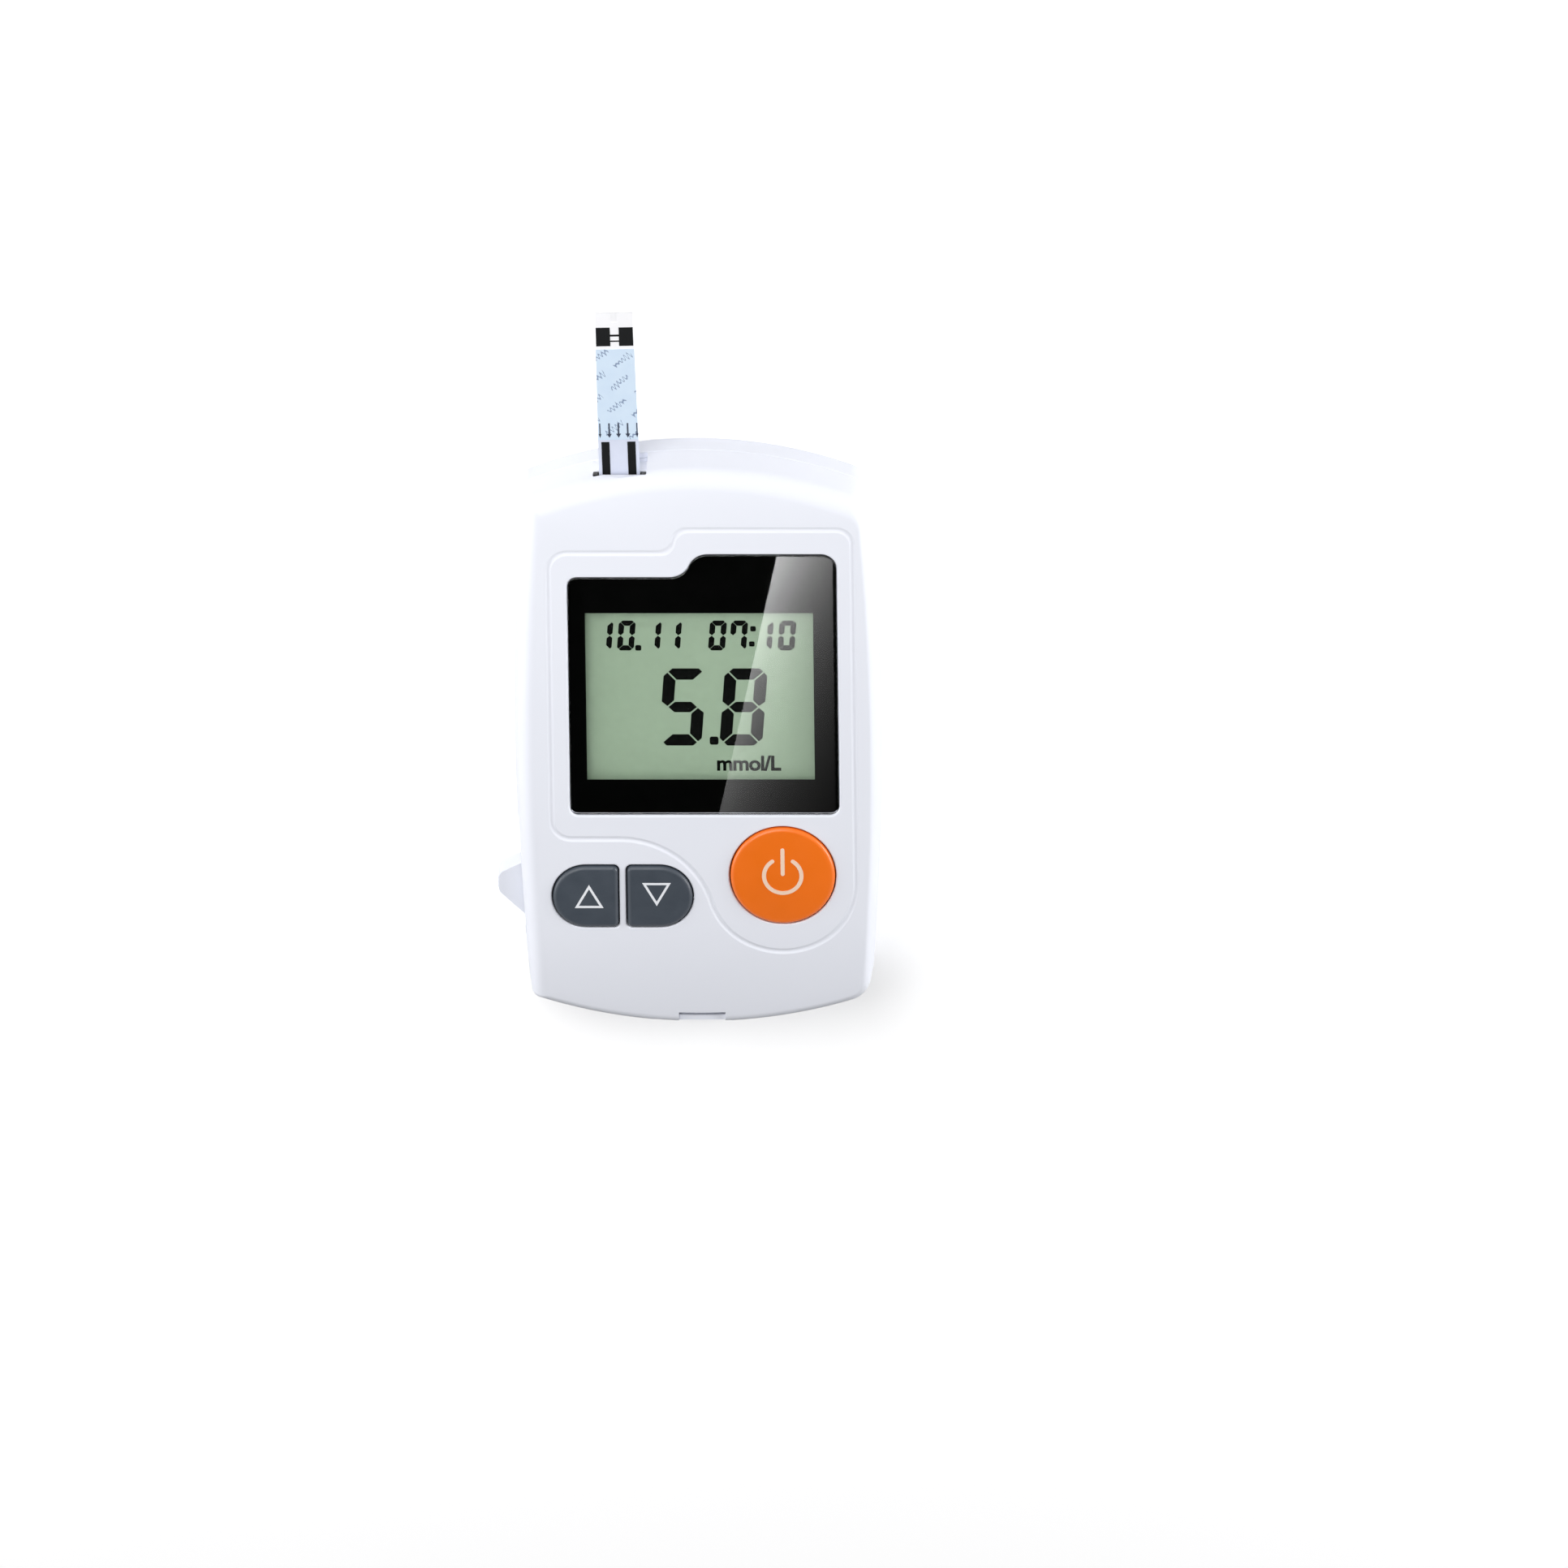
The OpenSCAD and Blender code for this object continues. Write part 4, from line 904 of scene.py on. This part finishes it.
def segment_shapes(w, h, t, gap):
    """The seven strokes of a digit, mitred where they meet, with cut outer corners."""
    cut, e, m, n = 0.58 * t, gap * 0.7, h / 2, 0.46 * t
    top = [
        (cut + e, h),
        (w - cut - e, h),
        (w - cut / 2 - e, h - cut / 2),
        (w - t - e, h - t),
        (t + e, h - t),
        (cut / 2 + e, h - cut / 2),
    ]
    left = [
        (0, h - cut - e),
        (cut / 2, h - cut / 2 - e),
        (t, h - t - e),
        (t, m + t / 2 + e),
        (t / 2, m + e),
        (0, m + t * 0.4 + e),
    ]
    middle = [
        (t / 2 + e, m),
        (t + e, m + n),
        (w - t - e, m + n),
        (w - t / 2 - e, m),
        (w - t - e, m - n),
        (t + e, m - n),
    ]

    def flip_x(points):
        return [(w - x, y) for x, y in reversed(points)]

    def flip_y(points):
        return [(x, h - y) for x, y in reversed(points)]

    return {
        "a": top,
        "b": flip_x(left),
        "c": flip_x(flip_y(left)),
        "d": flip_y(top),
        "e": flip_y(left),
        "f": left,
        "g": middle,
    }


def digit(char, x0, y0, w, h, t, gap):
    shapes = segment_shapes(w, h, t, gap)
    return [[(x0 + x + SLANT * y, y0 + y) for x, y in shapes[s]] for s in SEGMENTS[char]]


def dot(x, y, size):
    return round_box((x, y), size, size, size / 4, 4)


def readout():
    """The digits: date and time above, the value below."""
    shapes = []
    for char, edge in DATE_AND_TIME:
        shapes += digit(char, edge + 0.16 - SMALL_DIGIT["w"] - SLANT * SMALL_DIGIT["h"], **SMALL_DIGIT)
    shapes += [dot(-8.15, 15.0, 0.85), dot(7.95, 15.6, 0.8), dot(8.15, 17.95, 0.8)]
    for char, x0 in VALUE:
        shapes += digit(char, x0, **BIG_DIGIT)
    shapes.append(dot(2.43, 0.62, 1.25))
    plates("readout_digits", shapes, LCD_TOP, 0.02, "case")


def unit_text():
    """The unit of the value, in a plain face."""
    curve = bpy.data.curves.new("unit_text", "FONT")
    curve.body = "mmol/L"
    curve.size = UNIT_SIZE * MM
    curve.offset = 0.09 * MM
    curve.space_character = 0.95
    curve.extrude = 0.01 * MM
    text = bpy.data.objects.new("unit_curve", curve)
    bpy.context.scene.collection.objects.link(text)
    bpy.context.view_layer.update()
    mesh = bpy.data.meshes.new_from_object(text.evaluated_get(bpy.context.evaluated_depsgraph_get()))
    width = max(v.co.x for v in mesh.vertices) - min(v.co.x for v in mesh.vertices)
    for v in mesh.vertices:
        v.co.x *= UNIT_W * MM / width
    obj = bpy.data.objects.new("unit_text", mesh)
    bpy.context.scene.collection.objects.link(obj)
    bpy.data.objects.remove(text)
    obj.location = (UNIT_AT[0] * MM, UNIT_AT[1] * MM, (LCD_TOP + 0.01) * MM)
    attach(obj, "case")


# ---- Test strip print ----


def leaned(x, y):
    """Where a place on the straight strip lies once the strip leans about its port."""
    a = math.radians(STRIP_LEAN)
    dx, dy = x - PORT_X, y - STRIP_TURN_Y
    across = PORT_X + dx * math.cos(a) - dy * math.sin(a)
    along = STRIP_TURN_Y + dx * math.sin(a) + dy * math.cos(a)
    return (across, along)


def strip_arrows():
    """Small arrows that show which way the strip goes in."""
    tip, end, spacing = 46.95, 49.2, 1.31
    shapes = []
    for i in range(-2, 3):
        x = PORT_X + 0.08 + spacing * i
        half, head = (0.11, 0.34) if abs(i) < 2 else (0.08, 0.2)
        shapes.append([(x - half, tip + 0.55), (x + half, tip + 0.55), (x + half, end), (x - half, end)])
        shapes.append([(x, tip), (x + head, tip + 0.62), (x - head, tip + 0.62)])
    shapes = [[leaned(px, py) for px, py in shape] for shape in shapes]
    plates("strip_arrows", shapes, box_mm("strip_cover")[1][2], 0.015, "strip")


# ---- Camera, light and floor ----

TILT, TURN = math.radians(24), math.radians(1.63)
TO_CAMERA = Vector((math.sin(TURN), math.cos(TURN) * math.sin(TILT), math.cos(TURN) * math.cos(TILT)))
UP = Vector((0, math.cos(TILT), -math.sin(TILT)))
RIGHT = UP.cross(TO_CAMERA)
DISTANCE = 6.0
FRAME_WIDTH = 0.2223
SENSOR = 36
TARGET = RIGHT * 12.01 * MM + UP * -10.58 * MM + TO_CAMERA * 13.2 * MM

FLOOR_HALF, FLOOR_Z, FLOOR_LIFT = 6.0, -0.02, 0.4
AMBIENT = 0.1
FLAG_HEIGHT, CARD_HEIGHT = 0.43, 0.12
# Natural logarithm of the card's strength at its two ends, and its fade per 10 mm across the window
CARD_LOW, CARD_HIGH, CARD_FADE = 0.74, 2.74, 1.62


def camera():
    data = bpy.data.cameras.new("Camera")
    data.sensor_width = SENSOR
    data.lens = SENSOR * DISTANCE / FRAME_WIDTH
    data.clip_start, data.clip_end = 0.05, 50
    obj = bpy.data.objects.new("Camera", data)
    obj.location = TARGET + TO_CAMERA * DISTANCE
    obj.rotation_mode = "QUATERNION"
    obj.rotation_quaternion = Matrix((RIGHT, UP, TO_CAMERA)).transposed().to_quaternion()
    bpy.context.scene.collection.objects.link(obj)
    bpy.context.scene.camera = obj


def softbox(name, place, aim, size, power):
    data = bpy.data.lights.new(name, "AREA")
    data.shape = "RECTANGLE"
    data.size, data.size_y = size
    data.energy = power
    obj = bpy.data.objects.new(name, data)
    obj.location = place
    obj.rotation_mode = "QUATERNION"
    obj.rotation_quaternion = (Vector(aim) - Vector(place)).to_track_quat("-Z", "Y")
    bpy.context.scene.collection.objects.link(obj)


def mirrored_in_window(x, y, height):
    """Where the camera sees, mirrored in the window at (x, y), a level plane at that height. In metres."""
    p = Vector((x * MM, y * MM, WINDOW_TOP_Z * MM))
    d = p - (TARGET + TO_CAMERA * DISTANCE)
    d.z = -d.z
    d.normalize()
    return p + d * ((height - p.z) / d.z)


def emission(name, strength=None):
    """An Emission material, its node tree and its shader node."""
    mat = bpy.data.materials.new(name)
    mat.use_nodes = True
    tree = mat.node_tree
    tree.nodes.clear()
    out = tree.nodes.new("ShaderNodeOutputMaterial")
    glow = tree.nodes.new("ShaderNodeEmission")
    tree.links.new(glow.outputs[0], out.inputs["Surface"])
    if strength is not None:
        glow.inputs["Strength"].default_value = strength
    return mat, tree, glow


def reflection_only(obj, transmission=False):
    """Shows a card in mirroring surfaces only, and through the window as well if asked."""
    obj.visible_camera = False
    obj.visible_diffuse = False
    obj.visible_transmission = transmission
    obj.visible_shadow = False
    obj.visible_volume_scatter = False


def dark_flag():
    """A dark plane that the whole window mirrors."""
    corners = [(-130, -130), (130, -130), (130, 150), (-130, 150)]
    points = [mirrored_in_window(x, y, FLAG_HEIGHT) / MM for x, y in corners]
    flag = new_object("Dark.Flag", points, [(0, 1, 2, 3)])
    flag.data.materials.append(emission("Dark.Flag", 0.0)[0])
    reflection_only(flag, transmission=True)


def card_material():
    """Light that fades across the card and grows along it; the UV map holds both ways."""
    mat, tree, glow = emission("Bright.Card")
    place = tree.nodes.new("ShaderNodeUVMap")
    place.uv_map = "Card"
    split = tree.nodes.new("ShaderNodeSeparateXYZ")
    tree.links.new(place.outputs[0], split.inputs[0])
    across = tree.nodes.new("ShaderNodeMapRange")
    across.inputs["From Max"].default_value = 2.0
    across.inputs["To Max"].default_value = -2.0 * CARD_FADE
    across.clamp = False
    tree.links.new(split.outputs["X"], across.inputs["Value"])
    along = tree.nodes.new("ShaderNodeMapRange")
    along.inputs["To Min"].default_value = CARD_LOW
    along.inputs["To Max"].default_value = CARD_HIGH
    tree.links.new(split.outputs["Y"], along.inputs["Value"])
    both = tree.nodes.new("ShaderNodeMath")
    both.operation = "ADD"
    tree.links.new(across.outputs["Result"], both.inputs[0])
    tree.links.new(along.outputs["Result"], both.inputs[1])
    level = tree.nodes.new("ShaderNodeMath")
    level.operation = "EXPONENT"
    tree.links.new(both.outputs[0], level.inputs[0])
    tree.links.new(level.outputs[0], glow.inputs["Strength"])
    return mat


def bright_card():
    """A bright card whose mirrored edge crosses the window aslant."""
    steps = 12
    edge_low, edge_high = (2.81, WINDOW_BOTTOM - 1), (11.69, WINDOW_TOP_HIGH - 0.25)
    far_x = WINDOW_RIGHT - 0.6
    vertices, faces, uv = [], [], []
    for j in range(steps + 1):
        v = j / steps
        x0 = edge_low[0] + (edge_high[0] - edge_low[0]) * v
        y = edge_low[1] + (edge_high[1] - edge_low[1]) * v
        for i in range(steps + 1):
            u = i / steps
            vertices.append(mirrored_in_window(x0 + (far_x - x0) * u, y, CARD_HEIGHT) / MM)
            uv.append(((far_x - x0) * u / 10, v))
    for j in range(steps):
        for i in range(steps):
            a = j * (steps + 1) + i
            faces.append((a, a + 1, a + steps + 2, a + steps + 1))
    card = new_object("Bright.Card", vertices, faces)
    layer = card.data.uv_layers.new(name="Card")
    for loop in card.data.loops:
        layer.data[loop.index].uv = uv[loop.vertex_index]
    card.data.materials.append(card_material())
    reflection_only(card)
    linked = bpy.data.collections.new("Mirrors.The.Card")
    for name in ("window_plate", "lcd_polarizer"):
        linked.objects.link(bpy.data.objects[name])
    card.light_linking.receiver_collection = linked


def floor():
    """A pale floor that the camera sees lifted to white, with the shadow kept."""
    half = FLOOR_HALF / MM
    corners = [(-half, -half), (half, -half), (half, half), (-half, half)]
    obj = new_object("Floor", at_height(corners, FLOOR_Z), [(0, 1, 2, 3)])
    mat = bpy.data.materials.new("Floor")
    mat.use_nodes = True
    tree = mat.node_tree
    shader = tree.nodes["Principled BSDF"]
    shader.inputs["Base Color"].default_value = (0.90, 0.90, 0.905, 1)
    shader.inputs["Roughness"].default_value = 0.85
    shader.inputs["Specular IOR Level"].default_value = 0.1
    shader.inputs["Emission Color"].default_value = (1, 1, 1, 1)
    path = tree.nodes.new("ShaderNodeLightPath")
    lift = tree.nodes.new("ShaderNodeMath")
    lift.operation = "MULTIPLY"
    lift.inputs[1].default_value = FLOOR_LIFT
    tree.links.new(path.outputs["Is Camera Ray"], lift.inputs[0])
    tree.links.new(lift.outputs[0], shader.inputs["Emission Strength"])
    obj.data.materials.append(mat)


def world():
    """Dim even light on the part; the camera and mirrors see it white."""
    made = bpy.data.worlds.new("Studio")
    bpy.context.scene.world = made
    made.use_nodes = True
    tree = made.node_tree
    background = tree.nodes["Background"]
    background.inputs["Color"].default_value = (1, 1, 1, 1)
    path = tree.nodes.new("ShaderNodeLightPath")
    seen = tree.nodes.new("ShaderNodeMath")
    seen.operation = "MAXIMUM"
    tree.links.new(path.outputs["Is Camera Ray"], seen.inputs[0])
    tree.links.new(path.outputs["Is Glossy Ray"], seen.inputs[1])
    level = tree.nodes.new("ShaderNodeMapRange")
    level.inputs["To Min"].default_value = AMBIENT
    level.inputs["To Max"].default_value = 1.0
    tree.links.new(seen.outputs[0], level.inputs["Value"])
    tree.links.new(level.outputs["Result"], background.inputs["Strength"])


# ---- Putting it together ----

front_shell()
smoothed_copy("back_shell", "case")
smoothed_copy("battery_door", "door")
smoothed_copy("ejector_slider", "ejector", 40)
window_plate()
power_button()
arrow_button("up_button", "up_key", False)
arrow_button("down_button", "down_key", True)
power_sign()
arrow_signs()
readout()
unit_text()
strip_arrows()

skins = ("front_shell_skin", "back_shell_skin", "battery_door_skin", "ejector_slider_skin")
chips = ("processor_chip", "amplifier_chip")
mouldings = ("buzzer", "switch_bases", "strip_connector", "battery_holder")
plungers = ("power_plunger", "up_plunger", "down_plunger")
tin_parts = ("timing_crystal", "power_dome", "up_dome", "down_dome", "switch_covers", "ejector_spring")
tin_parts += ("positive_contact", "negative_contact", "coin_cell", "housing_screws", "board_screws")
matt = dict(spread=0.1, Specular_IOR_Level=0.08)
satin = dict(grain=5200, depth=0.006, spread=0.03, IOR=1.5, Coat_Weight=0.1)
sparked = dict(grain=3600, depth=0.012, spread=0.08)
print_ink = dict(grain=12000, depth=0.001)
carbon = dict(grain=7000, depth=0.006, Specular_IOR_Level=0.12)

dress(housing_material(), *skins)
dress(window_material(), "window_plate")
dress(plastic("Mask", (0.0012, 0.0013, 0.0012), 0.35, **matt), "window_mask")
dress(plastic("Gasket", (0.02, 0.02, 0.021), 0.8, grain=3000, depth=0.02), "window_gasket")
dress(lcd_material(), "lcd_polarizer")
dress(plastic("LCD.Glass", (0.55, 0.62, 0.58), 0.1), "lcd_front_glass", "lcd_rear_glass")
dress(metal("Reflector", (0.70, 0.71, 0.68), 0.35), "lcd_reflector")
dress(plastic("Frame.Plastic", (0.72, 0.72, 0.70), 0.45), "lcd_holder")
dress(plastic("Elastomer", (0.55, 0.28, 0.32), 0.6, grain=2500, depth=0.03), "zebra_connector")
dress(board_material(), "circuit_board")
dress(plastic("Chip.Epoxy", (0.022, 0.022, 0.024), 0.5, grain=5000, depth=0.01), *chips)
dress(plastic("Ceramic", (0.45, 0.36, 0.24), 0.4), "chip_components")
dress(plastic("Black.Moulding", (0.012, 0.012, 0.013), 0.42), *mouldings)
dress(plastic("Plunger", (0.70, 0.70, 0.68), 0.4), *plungers)
dress(metal("Tin", (0.66, 0.66, 0.68), 0.28), *tin_parts)
dress(metal("Spring.Bronze", (0.80, 0.60, 0.28), 0.25), "strip_contacts")
dress(plastic("Orange.Key", (0.93, 0.178, 0.008), 0.33, **satin), "power_button_cap")
dress(plastic("Slate.Key", (0.043, 0.054, 0.070), 0.42, **sparked), "up_button_cap", "down_button_cap")
dress(plastic("Sign.Print", (0.86, 0.88, 0.92), 0.4, **print_ink), "up_sign", "down_sign")
dress(plastic("Sign.Peach", (0.95, 0.70, 0.54), 0.4, **print_ink), "power_sign")
lcd_ink = plastic("LCD.Ink", (0.0012, 0.0016, 0.0013), 0.6, spread=0.1, Specular_IOR_Level=0.03, **print_ink)
dress(lcd_ink, "readout_digits", "unit_text")
dress(strip_base_material(), "test_strip")
dress(plastic("Strip.Spacer", (0.91, 0.91, 0.93), 0.35, grain=6000, depth=0.002), "strip_spacer")
dress(film_material(), "strip_cover")
dress(plastic("Carbon.Ink", (0.006, 0.0065, 0.007), 0.55, **carbon), "strip_electrodes")
dress(plastic("Arrow.Ink", (0.03, 0.04, 0.07), 0.5, **print_ink), "strip_arrows")

camera()
floor()
world()
dark_flag()
bright_card()
softbox("Key", (-0.10, 0.165, 0.26), (0, 0.01, 0.01), (0.24, 0.24), 0.71)
softbox("Left", (-0.45, 0.05, 0.14), (0, 0, 0.01), (0.25, 0.20), 1.05)
softbox("Right", (0.45, 0.06, 0.14), (0, 0.01, 0.01), (0.25, 0.20), 1.75)
softbox("Back", (0, 0.45, 0.14), (0, 0, 0.01), (0.30, 0.15), 0.13)
softbox("Front", (0, -0.45, 0.14), (0, 0, 0.01), (0.30, 0.15), 0.04)

bpy.context.scene.view_settings.view_transform = "Standard"
